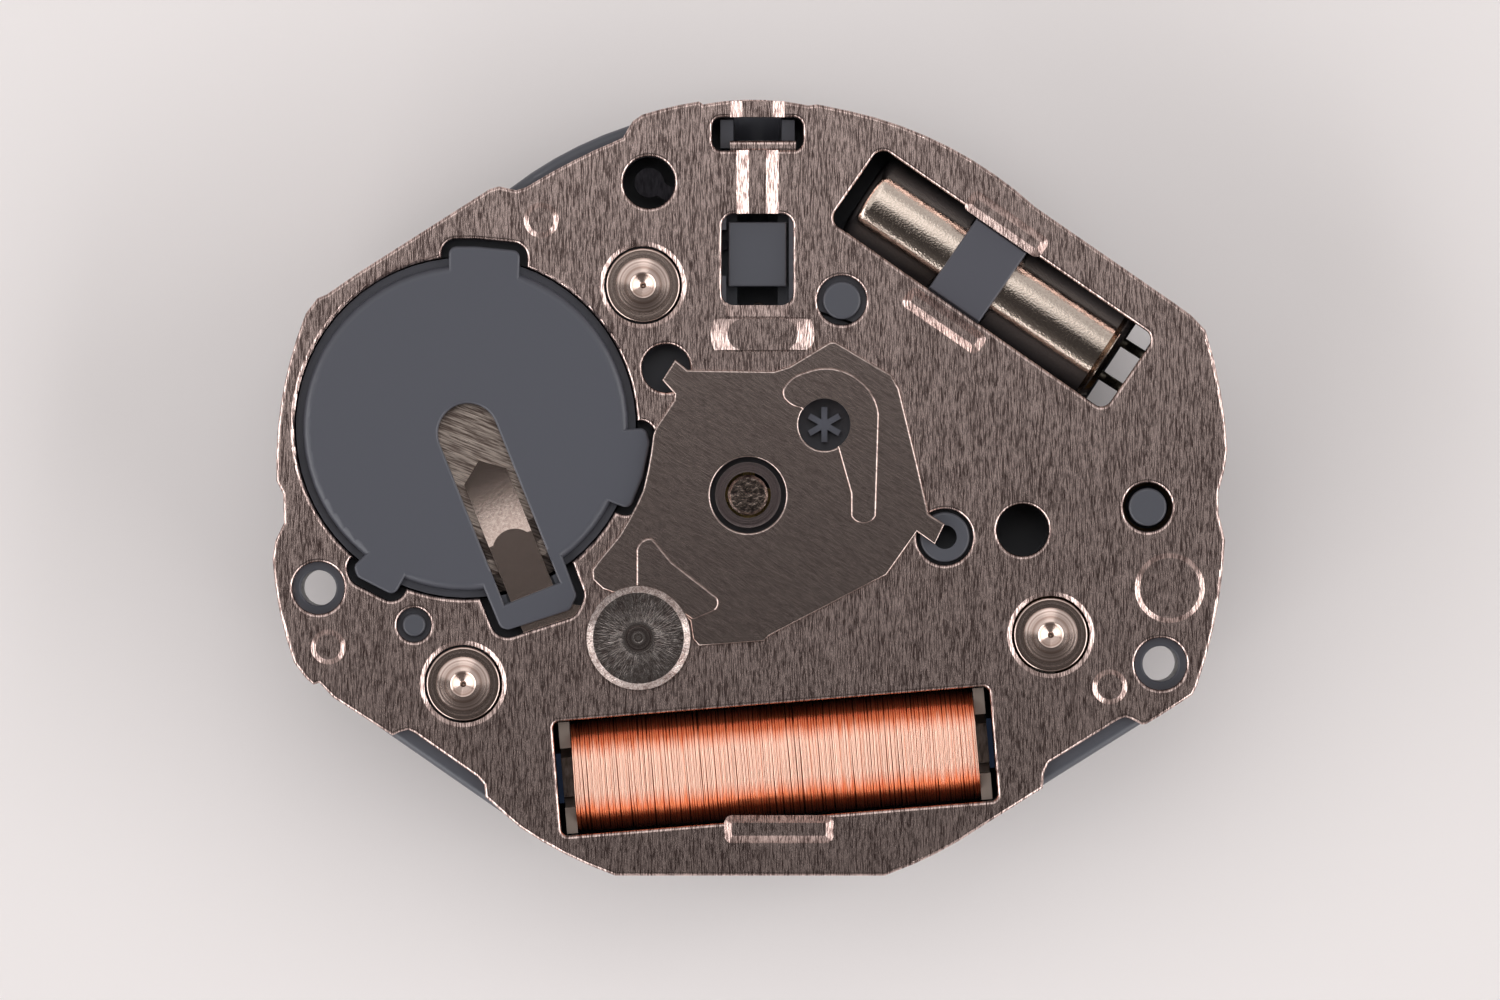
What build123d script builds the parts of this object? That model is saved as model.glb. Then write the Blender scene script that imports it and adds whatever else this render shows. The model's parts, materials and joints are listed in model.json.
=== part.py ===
from build123d import *
import math
import os

# Quartz watch movement with three hands, built up from its plastic main plate.
# +X is to the right and +Y towards the stem, seen from the case back; +Z points out of the
# case back. The origin is on the hand axis, in the plane that the dial rests on.
# Lengths are millimetres and angles are degrees.
os.makedirs("parts", exist_ok=True)

# Overall size, and how far a cutting tool runs past what it cuts
overall_length = 19.25
overall_width = 15.78
overrun = 0.40

# Heights of the stack, from the dial seat up
plate_height = 2.55
cover_thickness = 0.20
centre_bridge_thickness = 0.15
pin_head_thickness = 0.25
recess_depth = 0.62
web_thickness = 0.23
train_bridge_thickness = 0.40
train_bridge_gap = 0.13

# Rounding of the top edges
metal_edge_radius = 0.07
bridge_edge_radius = 0.04
raised_corner_radius = 0.08
plastic_edge_radius = 0.06
plate_edge_radius = 0.15
turned_edge_radius = 0.04

# Clearances
fit_clearance = 0.03
pocket_clearance = 0.05
window_clearance = 0.10
turning_gap = 0.05
seat_clearance = 0.02

# Button cell and what insulates and contacts it
cell_radius = 3.40
cell_height = 2.15
cell_floor = 0.20
cell_rim_width = 0.38
cell_gasket_width = 0.30
cell_cap_inset = 0.45
cell_cap_step = 0.12
cell_pocket_clearance = 0.07
cap_radius = 3.29
cap_lug_thickness = 0.18
cap_corner_radius = 0.10
cap_edge_radius = 0.16
cap_skirt_thickness = 0.12
cap_lift = 0.05
lug_clearance = 0.15
lug_corner_radius = 0.16
lug_groove_depth = 0.45
slot_width = 1.21
strip_width = 0.92
strip_tail_corner = 0.63
strip_thickness = 0.08
strip_drop = 0.10
strip_tail = 2.60
positive_contact_thickness = 0.10
positive_contact_height = 1.60
positive_contact_angle = 122.5
positive_contact_span = 40.0

# Quartz crystal
can_radius = 1.00
can_length = 6.00
can_floor = 0.45
can_end_radius = 0.28
can_direction = -33.5
flange_radius = 1.00
flange_thickness = 0.22
flange_neck = 0.10
crystal_pocket_length = 7.30
lead_radius = 0.10
lead_spacing = 0.80
lead_stub = 0.20
lead_rise_run = 0.35
lead_foot = 0.55
lead_opening_reach = 0.30
lead_opening_width = 0.46
lead_opening_length = 1.96
crystal_window_length = 6.76
crystal_window_width = 1.81
crystal_window_radius = 0.22
crystal_window_direction = -34.7
strap_width = 1.23
strap_block_length = 1.70
strap_base_length = 2.72
strap_base_thickness = 0.07
strap_leg_thickness = 0.24
strap_leg_depth = 0.70
strap_top_drop = 0.04

# Coil, its core and the stator
coil_radius = 1.04
coil_length = 8.20
coil_end_radius = 0.30
coil_axis_height = 1.35
coil_direction = 4.7
core_thickness = 0.30
core_width = 0.80
core_tab_width = 0.90
core_length = 9.90
flange_plate_thickness = 0.22
flange_plate_width = 2.26
flange_plate_height = 1.96
flange_notch_width = 1.20
film_width = 1.00
film_thickness = 0.10
coil_pocket_clearance = 0.23
coil_pocket_width = 2.50
coil_pocket_floor = 0.25
coil_window_length = 8.86
coil_window_width = 2.32
coil_window_radius = 0.14
stator_thickness = 0.30
stator_width = 0.72
stator_lobe_radius = 1.02
stator_bore_clearance = 0.14
stator_pin_lobe_radius = 0.62

# Circuit board
board_level = 1.60
board_thickness = 0.15
chip_length = 1.50
chip_width = 1.20
chip_thickness = 0.42
pad_thickness = 0.05
pad_length = 0.55
pad_width = 0.42

# Pillars, posts and holes in the cover plate
pillar_head_radius = 0.747
pillar_head_thickness = 0.30
pillar_shank_radius = 0.45
pillar_foot_radius = 0.30
pillar_foot_level = 0.62
pillar_ring_width = 0.10
pillar_ring_depth = 0.05
pillar_dimple_radius = 0.26
pillar_hole_gap = 0.04
pillar_sink_width = 0.09
pillar_sink_depth = 0.05
pin_head_radius = 1.05
pin_bevel = 0.13
pin_shank_radius = 0.40
pin_collar_radius = 0.60
pin_foot_level = 0.30
pin_ring_radius = 0.31
pin_ring_width = 0.06
pin_ring_depth = 0.04
pin_dot_radius = 0.07
post_radius = 0.384
small_post_radius = 0.232
post_gap = 0.11
post_drop = 0.03
sight_hole_radius = 0.525
sight_hole_depth = 1.60
foot_hole_radius = 0.36
foot_hole_mouth = 0.04
foot_hole_gap = 0.165
hook_hole_radius = 0.485
bush_post_radius = 0.505
bush_post_bore = 0.242
bush_post_gap = 0.06
boss_height = 0.09
boss_slope = 0.10
large_boss_radius = 0.707
small_boss_radius = 0.354

# Formed features of the cover plate
ridge_height = 0.20
ridge_base_width = 0.85
ridge_top_width = 0.35
ridge_mouth_base_width = 1.10
ridge_mouth_top_width = 0.62
emboss_length = 2.10
emboss_top_length = 1.42
emboss_base_width = 1.30
emboss_width = 0.62
emboss_height = 0.16
lance_length = 1.76
lance_width = 0.04
lance_depth = 0.10
ramp_width = 1.27
ramp_length = 0.22
ramp_depth = 0.12
louvre_length = 1.86
louvre_width = 0.46
louvre_height = 0.15
louvre_slope = 0.15
coil_louvre_length = 2.20
coil_louvre_width = 0.56

# Stem, slot and setting works
stem_place_share = 0.0100
stem_axis_height = 1.20
stem_bore_radius = 0.47
stem_guide_end_share = 0.3660
slot_window_length = 1.84
slot_window_depth = 0.67
slot_window_radius = 0.20
slot_place_share = 0.4628
slot_pad_width = 0.26
slot_pad_inset = 0.17
slot_pad_drop = 0.10
slot_lip_length = 1.33
slot_lip_width = 0.20
slot_lip_radius = 0.08
slot_lip_shift = 0.11
clutch_window_width = 1.44
clutch_window_length = 1.85
clutch_window_radius = 0.25
clutch_window_place_share = 0.3018
clutch_ledge_level = 2.05
clutch_channel_width = 0.82
clutch_channel_floor = 0.78
clutch_radius = 0.38
clutch_groove_radius = 0.28
clutch_groove_width = 0.26
clutch_bore_radius = 0.20
clutch_length = 1.00
clutch_teeth = 12
clutch_tooth_depth = 0.12
slider_width = 1.17
slider_length = 1.30
slider_thickness = 0.50
slider_place_share = 0.3088
slider_prong_thickness = 0.07
slider_prong_depth = 1.15
slider_travel = 0.333
slider_notch_depth = 0.22
lever_thickness = 0.18
lever_lift = 0.05
lever_stud_radius = 0.18
lever_boss_radius = 0.34
lever_pin_radius = 0.10
lever_pin_depth = 0.95
lever_arm_width = 0.30
lever_pin_gap = 0.16
lever_nose_gap = 0.04
setting_lever_turn = 10.0
yoke_turn = 24.0
yoke_arm_length = 0.80
yoke_tip_radius = 0.10
yoke_pin_reach = 1.10
yoke_pin_direction = -60.0
yoke_pin_depth = 0.62
hack_thickness = 0.12
hack_turn = 4.0
hack_arm_length = 1.60
hack_tail_length = 1.50
hack_tip_direction = 135.0
hack_arm_direction = 45.0
hack_tail_direction = 128.6
hack_width = 0.24
hack_stud_radius = 0.14
hack_boss_radius = 0.26
hack_rest_gap = 0.18

# Gear train. A share here is a share of the module or of the tooth pitch
addendum_share = 0.85
dedendum_share = 1.15
root_half_share = 0.30
tip_half_share = 0.13
rotor_leaves = 8
fifth_teeth = 48
fifth_leaves = 12
fourth_teeth = 60
fourth_spokes = 4
fourth_leaves = 8
third_teeth = 60
third_leaves = 8
centre_teeth = 64
cannon_leaves = 16
minute_teeth = 48
minute_leaves = 12
hour_teeth = 48
setting_teeth = 24
fifth_module = 0.060
rotor_module = 0.060
third_module = 0.0618
motion_module = 0.05625
third_direction = 42.7
fifth_direction = -50.0
rotor_direction = -115.0
minute_direction = 100.0
setting_direction = 75.0
gear_thickness = 0.12
pinion_overhang = 0.06
centre_gear_lift = 0.05
third_gear_step = 0.16
fourth_gear_step = 0.18
fifth_gear_step = 0.16
arbor_radius = 0.14
pivot_radius = 0.09
cavity_gap = 0.10
magnet_radius = 0.50
magnet_height = 0.50
magnet_lift = 0.03
rotor_hub_radius = 0.20
rotor_pocket_gap = 0.14
rotor_floor = 0.80
journal_radius = 0.41
journal_bush_radius = 0.465
bush_outer_radius = 0.667
bush_mid_radius = 0.566
bush_rise = 0.08
bush_step = 0.05
journal_end_chamfer = 0.06
star_radius = 0.354
star_arm_width = 0.12
star_core_radius = 0.13
star_thickness = 0.16
star_arms = 6
star_hole_radius = 0.525
centre_hole_radius = 0.768

# Hand fittings and motion work under the dial
seconds_radius = 0.10
seconds_reach = 1.50
seconds_body_radius = 0.255
minute_pipe_radius = 0.45
minute_body_radius = 0.61
minute_body_narrowing = 0.01
minute_reach = 1.05
hour_pipe_radius = 0.75
hour_shoulder_radius = 0.92
hour_reach = 0.60
centre_tube_radius = 0.33
centre_tube_reach = 0.05
hand_seat_gap = 0.02
centre_bore_radius = 0.27
centre_hub_radius = 0.42
hour_bore_radius = 0.64
hour_gear_thickness = 0.10
hour_gear_lift = 0.04
minute_gear_step = 0.12
motion_stud_radius = 0.16
motion_cover_thickness = 0.08
motion_cover_drop = 0.08
motion_cover_rim = 0.34
motion_ear_radius = 0.45
motion_screw_head_radius = 0.25
motion_screw_shank_radius = 0.12
motion_screw_reach = 2.00
motion_screw_directions = (-10.0, -130.0)
motion_screw_slot_width = 0.07
motion_screw_slot_depth = 0.04
setting_wheel_height = 0.50
setting_recess_depth = 0.87

# Places, as shares of the overall length and width from the hand axis
battery_place_share = (-0.2965, 0.0864)
crystal_place_share = (0.2522, 0.2817)
crystal_window_place_share = (0.2564, 0.2772)
strap_place_share = (0.2416, 0.2881)
coil_place_share = (0.0287, -0.3409)
chip_place_share = (0.3850, 0.0530)
coil_pad_place_shares = [(0.2700, -0.2150), (0.3090, -0.2330)]
strip_station_shares = [1.00, 0.66, 0.33, 0.14]
strip_tip_share = 0.17
strip_shoulder_share = 0.27
fourth_rim_share = 0.80
pillar_place_shares = [(-0.1102, 0.2688), (-0.2991, -0.2420), (0.3180, -0.1792)]
bridge_pin_place_share = (-0.1149, -0.1831)
post_place_shares = [(0.0986, 0.2496), (0.4198, -0.0154)]
small_post_place_share = (-0.3508, -0.1664)
bush_post_place_share = (0.2067, -0.0538)
hook_hole_place_share = (-0.0861, 0.1626)
sight_hole_place_shares = [(-0.1039, 0.4007), (0.2886, -0.0448)]
foot_hole_place_shares = [(-0.4513, -0.1191), (0.4334, -0.2164)]
large_boss_place_share = (0.4429, -0.1191)
small_boss_place_shares = [(0.3799, -0.2458), (-0.4408, -0.1946), (-0.2172, 0.3521)]
emboss_place_share = (0.0153, 0.2055)
coil_louvre_place_share = (0.0325, -0.4280)
louvre_place_shares = [(0.2715, 0.3470), (0.2060, 0.2235)]
setting_lever_place_share = (-0.0700, 0.3770)
yoke_place_share = (-0.0650, 0.3105)

# Outlines, as shares of the overall length and width from the hand axis, anticlockwise.
# A third number is the bulge of the arc to the next point, as a share of its chord.
main_outline_shares = [
    (0.4639, -0.2548), (0.4712, -0.2112, 0.050), (0.4712, 0.1984), (0.4376, 0.2432),
    (0.2750, 0.3687, 0.182), (-0.2513, 0.3924), (-0.4282, 0.2573), (-0.4618, 0.2240, 0.055),
    (-0.4723, -0.1984), (-0.4387, -0.2548), (-0.2435, -0.4199, 0.030), (-0.1427, -0.4788),
    (0.1427, -0.4788, 0.030), (0.2424, -0.4238),
]
cover_outline_shares = [
    (0.4669, -0.2560), (0.4717, -0.2443, 0.037), (0.5011, -0.0576), (0.4943, -0.0230),
    (0.4943, 0.0038), (0.5006, 0.0320), (0.5037, 0.0576, 0.032), (0.4807, 0.2112),
    (0.4649, 0.2311), (0.4450, 0.2484), (0.3022, 0.3687, 0.066), (0.1070, 0.4921),
    (0.0733, 0.5006), (0.0630, 0.4993, 0.050), (-0.0472, 0.5006), (-0.0514, 0.5044, 0.020),
    (-0.1115, 0.4873), (-0.1214, 0.4788), (-0.1315, 0.4578, 0.020), (-0.2335, 0.3943),
    (-0.2435, 0.3905), (-0.2616, 0.3956), (-0.2718, 0.3918), (-0.4103, 0.2842),
    (-0.4423, 0.2573), (-0.4523, 0.2522), (-0.4644, 0.2330, 0.053), (-0.4953, 0.0179),
    (-0.4883, 0.0013), (-0.4875, -0.0358), (-0.4966, -0.0589), (-0.4995, -0.0819, 0.035),
    (-0.4770, -0.2146), (-0.4645, -0.2348), (-0.4565, -0.2432), (-0.4502, -0.2407),
    (-0.4355, -0.2599), (-0.3736, -0.3082), (-0.3652, -0.3034), (-0.3568, -0.3009),
    (-0.3505, -0.3047), (-0.2844, -0.3610), (-0.2771, -0.3713), (-0.2760, -0.3866),
    (-0.2529, -0.4122), (-0.2393, -0.4263, 0.031), (-0.1448, -0.4852), (-0.1396, -0.4878),
    (0.1438, -0.4878), (0.1490, -0.4852, 0.032), (0.2435, -0.4263), (0.3096, -0.3756),
    (0.3111, -0.3559), (0.3159, -0.3431), (0.3898, -0.2874), (0.3962, -0.2845),
    (0.4026, -0.2874), (0.4138, -0.2943), (0.4187, -0.2933), (0.4348, -0.2815),
]
centre_bridge_outline_shares = [
    (-0.0903, 0.1472), (-0.0768, 0.1293), (-0.0777, 0.1216), (-0.0971, 0.0863),
    (-0.0997, 0.0768, -0.020), (-0.1102, 0.0064, -0.020), (-0.1356, -0.0521), (-0.1574, -0.0845),
    (-0.1637, -0.0960), (-0.1627, -0.1088), (-0.1522, -0.1203), (-0.1291, -0.1306),
    (-0.0871, -0.1344), (-0.0609, -0.1613), (-0.0580, -0.1844), (-0.0514, -0.1933),
    (0.0168, -0.1869), (0.0220, -0.1805), (0.1213, -0.1173), (0.1453, -0.1024),
    (0.1774, -0.0470), (0.1962, -0.0634), (0.2067, -0.0371), (0.1895, -0.0243),
    (0.1774, 0.0410), (0.1585, 0.1357), (0.1507, 0.1539), (0.0918, 0.1963),
    (0.0861, 0.1963), (0.0437, 0.1651), (0.0273, 0.1587), (-0.0634, 0.1604),
    (-0.0768, 0.1735),
]
comma_outline_shares = [
    (0.0945, 0.0607), (0.1081, 0.0019), (0.1081, -0.0269, 0.300), (0.1343, -0.0269),
    (0.1375, 0.1037, 0.120), (0.1102, 0.1536, 0.120), (0.0598, 0.1575, 0.120),
    (0.0367, 0.1357, 0.100), (0.0383, 0.1229, 0.100), (0.0556, 0.1114),
]
corner_outline_shares = [
    (-0.0580, -0.1600), (-0.0357, -0.1485, 0.300), (-0.0367, -0.1267), (-0.0798, -0.0858),
    (-0.1007, -0.0550, 0.200), (-0.1170, -0.0704), (-0.1170, -0.1180), (-0.0871, -0.1344),
]
train_bridge_outline_shares = [
    (-0.0987, 0.0253), (-0.0987, 0.1489), (-0.0312, 0.1838), (0.0623, 0.2376),
    (0.1662, 0.1965), (0.2078, 0.0634), (0.2390, -0.0190), (0.2390, -0.0887),
    (0.1714, -0.1458), (0.0987, -0.2376), (-0.0182, -0.2376), (-0.0623, -0.1394),
]
board_outline_shares = [
    (0.3740, 0.1172), (0.4218, 0.2091), (0.4571, 0.1743), (0.4675, 0.0634),
    (0.4649, -0.0760), (0.4260, -0.1521), (0.3740, -0.1648), (0.3600, -0.2281),
    (0.3065, -0.2567), (0.2571, -0.2319), (0.0353, -0.2535), (-0.1351, -0.2706),
    (-0.1558, -0.2345), (-0.1558, -0.1838), (-0.1143, -0.1362), (-0.0779, -0.1838),
    (-0.0675, -0.2357), (0.0353, -0.2256), (0.2390, -0.2028), (0.2701, -0.1267),
    (0.2545, -0.0127), (0.2701, 0.0760), (0.3273, 0.1014),
]
stator_line_shares = [(-0.1143, -0.2440), (0.0353, -0.2060)]

# Places and outlines round the battery, as shares of the cap's radius from its centre
slot_start_share = (0.012, -0.034)
slot_end_share = (0.407, -1.020)
cap_lug_shares = [
    [(-0.104, 0.783), (-0.104, 1.114), (0.058, 1.114),
     (0.335, 1.087), (0.322, 0.783)],
    [(0.826, -0.021), (1.108, -0.001), (1.133, -0.095),
     (1.090, -0.301), (1.010, -0.503), (0.826, -0.433)],
    [(-0.574, -0.740), (-0.691, -0.850), (-0.666, -0.918),
     (-0.439, -1.034), (-0.365, -0.899), (-0.384, -0.844)],
    [(0.077, -0.905), (0.212, -1.231), (0.261, -1.243),
     (0.641, -1.120), (0.684, -1.034), (0.580, -0.752)],
]

# Levels worked out from the heights above
cover_bottom = plate_height
cover_top = cover_bottom + cover_thickness
centre_bridge_top = cover_top + centre_bridge_thickness
train_floor = recess_depth + web_thickness
centre_gear_bottom = train_floor + centre_gear_lift
centre_gear_top = centre_gear_bottom + gear_thickness
third_gear_bottom = centre_gear_top + third_gear_step
third_gear_top = third_gear_bottom + gear_thickness
fourth_gear_bottom = third_gear_top + fourth_gear_step
fourth_gear_top = fourth_gear_bottom + gear_thickness
fifth_gear_bottom = fourth_gear_top + fifth_gear_step
fifth_gear_top = fifth_gear_bottom + gear_thickness
train_bridge_bottom = fifth_gear_top + train_bridge_gap
train_bridge_top = train_bridge_bottom + train_bridge_thickness
motion_cover_top = motion_cover_drop + motion_cover_thickness
hour_gear_bottom = motion_cover_top + hour_gear_lift
hour_gear_top = hour_gear_bottom + hour_gear_thickness
minute_gear_bottom = hour_gear_top + minute_gear_step
minute_gear_top = minute_gear_bottom + hour_gear_thickness
cell_top = cell_floor + cell_height
coil_end_reach = coil_length / 2 + flange_plate_thickness + film_thickness
coil_pocket_length = 2 * (coil_end_reach + coil_pocket_clearance)
lever_bottom = clutch_ledge_level + lever_lift
lever_top = lever_bottom + lever_thickness
board_top = board_level + board_thickness
can_axis_height = can_floor + can_radius
core_bottom = coil_axis_height - core_thickness / 2
core_top = core_bottom + core_thickness
stator_bottom = core_bottom - stator_thickness
strip_level = cell_top + strip_drop
stem_x = stem_place_share * overall_length


def spot(shares):
    """A place on the movement, from its shares of the overall length and width."""
    return Vector(shares[0] * overall_length, shares[1] * overall_width)


def polar(start, distance, direction):
    """The place at a distance from another place, in a direction in degrees."""
    turn = math.radians(direction)
    return Vector(start.X + distance * math.cos(turn), start.Y + distance * math.sin(turn))


def direction_of(start, end):
    """The direction in degrees from one place to another."""
    return math.degrees(math.atan2(end.Y - start.Y, end.X - start.X))


def closed_face(rows, centre, size_x, size_y):
    """A flat face from rows of shares, with an arc where a row has a bulge."""
    points = [Vector(centre.X + r[0] * size_x, centre.Y + r[1] * size_y) for r in rows]
    edges = []
    for row, a, b in zip(rows, points, points[1:] + points[:1]):
        bulge = row[2] if len(row) > 2 else 0
        if bulge:
            side = Vector(b.Y - a.Y, a.X - b.X) * bulge
            edges.append(ThreePointArc(a, (a + b) * 0.5 + side, b))
        else:
            edges.append(Line(a, b))
    return make_face(edges)


def plan(rows):
    """A flat face from rows of shares of the overall length and width."""
    return closed_face(rows, Vector(0, 0), overall_length, overall_width)


def prism(face, bottom, top):
    """A face raised from one level to another."""
    return Pos(0, 0, bottom) * extrude(face, top - bottom, dir=(0, 0, 1))


def disc(place, radius, bottom, top):
    """An upright cylinder between two levels."""
    height = top - bottom
    return Pos(place.X, place.Y, bottom + height / 2) * Cylinder(radius, height)


def block(place, length, width, bottom, top, direction=0):
    """An upright block between two levels, turned about its middle."""
    height = top - bottom
    body = Rot(0, 0, direction) * Box(length, width, height)
    return Pos(place.X, place.Y, bottom + height / 2) * body


def rounded_block(place, length, width, radius, bottom, top, direction=0):
    """A block with rounded upright corners."""
    face = Rot(0, 0, direction) * RectangleRounded(length, width, radius)
    return Pos(place.X, place.Y, bottom) * extrude(face, top - bottom, dir=(0, 0, 1))


def bar(start, end, width, bottom, top):
    """A bar with round ends between two places."""
    length = (end - start).length
    face = Rot(0, 0, direction_of(start, end)) * SlotCenterToCenter(length, width)
    middle = (start + end) * 0.5
    return Pos(middle.X, middle.Y, bottom) * extrude(face, top - bottom, dir=(0, 0, 1))


def frustum(place, length, width, slope, bottom, top, direction=0):
    """A raised form whose four sides lean in by slope."""
    low = Rot(0, 0, direction) * RectangleRounded(length, width, slope)
    high = Rot(0, 0, direction) * RectangleRounded(length - 2 * slope, width - 2 * slope, slope / 4)
    body = loft([Pos(0, 0, bottom) * low, Pos(0, 0, top) * high])
    return Pos(place.X, place.Y) * body


def dome_disc(place, radius, slope, bottom, top):
    """A raised round form with a sloping rim."""
    middle = (bottom + top) / 2
    return Pos(place.X, place.Y, middle) * Cone(radius, radius - slope, top - bottom)


def eased(body, radius):
    """A body with the edges of its highest flat face rounded."""
    return fillet(body.faces().sort_by(Axis.Z)[-1].edges(), radius)


def gear_face(teeth, module, phase, place):
    """A toothed outline, with one tooth centred in the direction of phase."""
    pitch_radius = teeth * module / 2
    root_radius = pitch_radius - dedendum_share * module
    tip_radius = pitch_radius + addendum_share * module
    corners = [
        (root_radius, -root_half_share), (tip_radius, -tip_half_share),
        (tip_radius, tip_half_share), (root_radius, root_half_share),
    ]
    pitch = 360 / teeth
    points = [
        polar(place, radius, phase + (tooth + share) * pitch)
        for tooth in range(teeth)
        for radius, share in corners
    ]
    return make_face(Polyline(*points, close=True))


def gear(teeth, module, phase, place, bottom, top):
    """A toothed wheel or pinion between two levels."""
    return prism(gear_face(teeth, module, phase, place), bottom, top)


def mate_phase(phase, teeth, mate_teeth, direction):
    """The phase of a wheel that meshes with another one lying in direction from it."""
    share = 0.5 - (direction - phase) * teeth / 360
    return direction + 180 - share * 360 / mate_teeth


def taper(place, low_radius, high_radius, bottom, top):
    """An upright, slightly tapered round piece between two levels."""
    return Pos(place.X, place.Y, (bottom + top) / 2) * Cone(low_radius, high_radius, top - bottom)


def tip_radius_of(teeth, module):
    """The radius to the tips of the teeth."""
    return teeth * module / 2 + addendum_share * module


# Places worked out from the gear sizes
hand_axis = Vector(0, 0)
third_distance = (fourth_leaves + third_teeth) * third_module / 2
centre_module = 2 * third_distance / (third_leaves + centre_teeth)
third_axis = polar(hand_axis, third_distance, third_direction)
fifth_distance = (fifth_leaves + fourth_teeth) * fifth_module / 2
fifth_axis = polar(hand_axis, fifth_distance, fifth_direction)
rotor_distance = (rotor_leaves + fifth_teeth) * rotor_module / 2
rotor_axis = polar(fifth_axis, rotor_distance, rotor_direction)
minute_distance = (cannon_leaves + minute_teeth) * motion_module / 2
hour_module = 2 * minute_distance / (minute_leaves + hour_teeth)
minute_axis = polar(hand_axis, minute_distance, minute_direction)
setting_distance = (minute_teeth + setting_teeth) * motion_module / 2
setting_axis = polar(minute_axis, setting_distance, setting_direction)

# Places worked out from the shares
battery_place = spot(battery_place_share)
slot_start = battery_place + Vector(*slot_start_share) * cap_radius
slot_end = battery_place + Vector(*slot_end_share) * cap_radius
slot_direction = direction_of(slot_start, slot_end)
crystal_place = spot(crystal_place_share)
crystal_base = polar(crystal_place, can_length / 2, can_direction)
coil_place = spot(coil_place_share)
pillar_places = [spot(share) for share in pillar_place_shares]
bridge_pin_place = spot(bridge_pin_place_share)
slider_place = Vector(stem_x, slider_place_share * overall_width)
setting_lever_place = spot(setting_lever_place_share)
yoke_place = spot(yoke_place_share)
lever_pin_place = Vector(
    stem_x - stem_bore_radius - lever_pin_gap,
    setting_lever_place.Y + lever_boss_radius,
)
yoke_tip = polar(yoke_place, yoke_arm_length, yoke_turn / 2)
yoke_pin = polar(yoke_place, yoke_pin_reach, yoke_pin_direction)
yoke_pin_end = polar(yoke_place, yoke_pin_reach, yoke_pin_direction - yoke_turn)

# The stop lever touches the rim of the seconds wheel along a line to the upper left
fourth_tip_radius = tip_radius_of(fourth_teeth, fifth_module)
hack_tip = polar(hand_axis, fourth_tip_radius + hack_rest_gap + hack_width / 2, hack_tip_direction)
hack_place = polar(hack_tip, hack_arm_length, hack_arm_direction)
hack_tail = polar(hack_place, hack_tail_length, hack_tail_direction)
hack_bottom = fourth_gear_bottom
hack_top = hack_bottom + hack_thickness


def cap_lug_faces(extra):
    """The four lugs of the battery cap, widened all round by extra."""
    faces = []
    for rows in cap_lug_shares:
        face = closed_face(rows, battery_place, cap_radius, cap_radius)
        face = fillet(face.vertices(), lug_corner_radius)
        faces.append(offset(face, extra) if extra else face)
    return faces


def core_face(extra):
    """The coil core seen from above: a bar with a tab up to a pillar at each end."""
    ends = [polar(coil_place, side * core_length / 2, coil_direction) for side in (-1, 1)]
    face = Pos(coil_place.X, coil_place.Y) * Rot(0, 0, coil_direction) * Rectangle(core_length, core_width)
    for end, pillar in zip(ends, pillar_places[1:]):
        length = (pillar - end).length
        middle = (pillar + end) * 0.5
        tab = Rot(0, 0, direction_of(end, pillar)) * SlotCenterToCenter(length, core_tab_width)
        face += Pos(middle.X, middle.Y) * tab
    return offset(face, extra) if extra else face


def stator_face(extra):
    """The stator seen from above: a strip from pillar to pillar with a lobe round the rotor."""
    stops = [pillar_places[1]] + [spot(share) for share in stator_line_shares] + [pillar_places[2]]
    face = Pos(rotor_axis.X, rotor_axis.Y) * Circle(stator_lobe_radius)
    for start, end in zip(stops, stops[1:]):
        middle = (start + end) * 0.5
        leg = SlotCenterToCenter((end - start).length, stator_width)
        face += Pos(middle.X, middle.Y) * Rot(0, 0, direction_of(start, end)) * leg
    for pillar in pillar_places[1:]:
        face += Pos(pillar.X, pillar.Y) * Circle(stator_pin_lobe_radius)
    return offset(face, extra) if extra else face


def motion_cover_face(extra):
    """The guard over the motion work seen from the dial: three discs and two screw ears."""
    face = Circle(tip_radius_of(hour_teeth, hour_module) + motion_cover_rim + extra)
    reach = tip_radius_of(minute_teeth, motion_module) + motion_cover_rim + extra
    face += Pos(minute_axis.X, minute_axis.Y) * Circle(reach)
    reach = tip_radius_of(setting_teeth, motion_module) + motion_cover_rim + extra
    face += Pos(setting_axis.X, setting_axis.Y) * Circle(reach)
    for direction in motion_screw_directions:
        ear = polar(hand_axis, motion_screw_reach, direction)
        face += Pos(ear.X, ear.Y) * Circle(motion_ear_radius + extra)
    return face


def stem_bore(radius, start_y, end_y):
    """A cylinder along the stem axis between two places along it."""
    length = end_y - start_y
    return Pos(stem_x, start_y + length / 2, stem_axis_height) * Rot(90, 0, 0) * Cylinder(radius, length)


def pillar_cuts():
    """Stepped holes for the three pillars and the hole for the bridge pin."""
    cuts = []
    for place in pillar_places:
        head = pillar_head_radius + pocket_clearance
        cuts.append(disc(place, head, cover_top - pillar_head_thickness, cover_top))
        cuts.append(disc(place, pillar_shank_radius, core_top, plate_height))
        cuts.append(disc(place, pillar_foot_radius, pillar_foot_level, plate_height))
    cuts.append(disc(bridge_pin_place, pin_shank_radius, pin_foot_level, cover_top))
    return cuts


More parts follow.
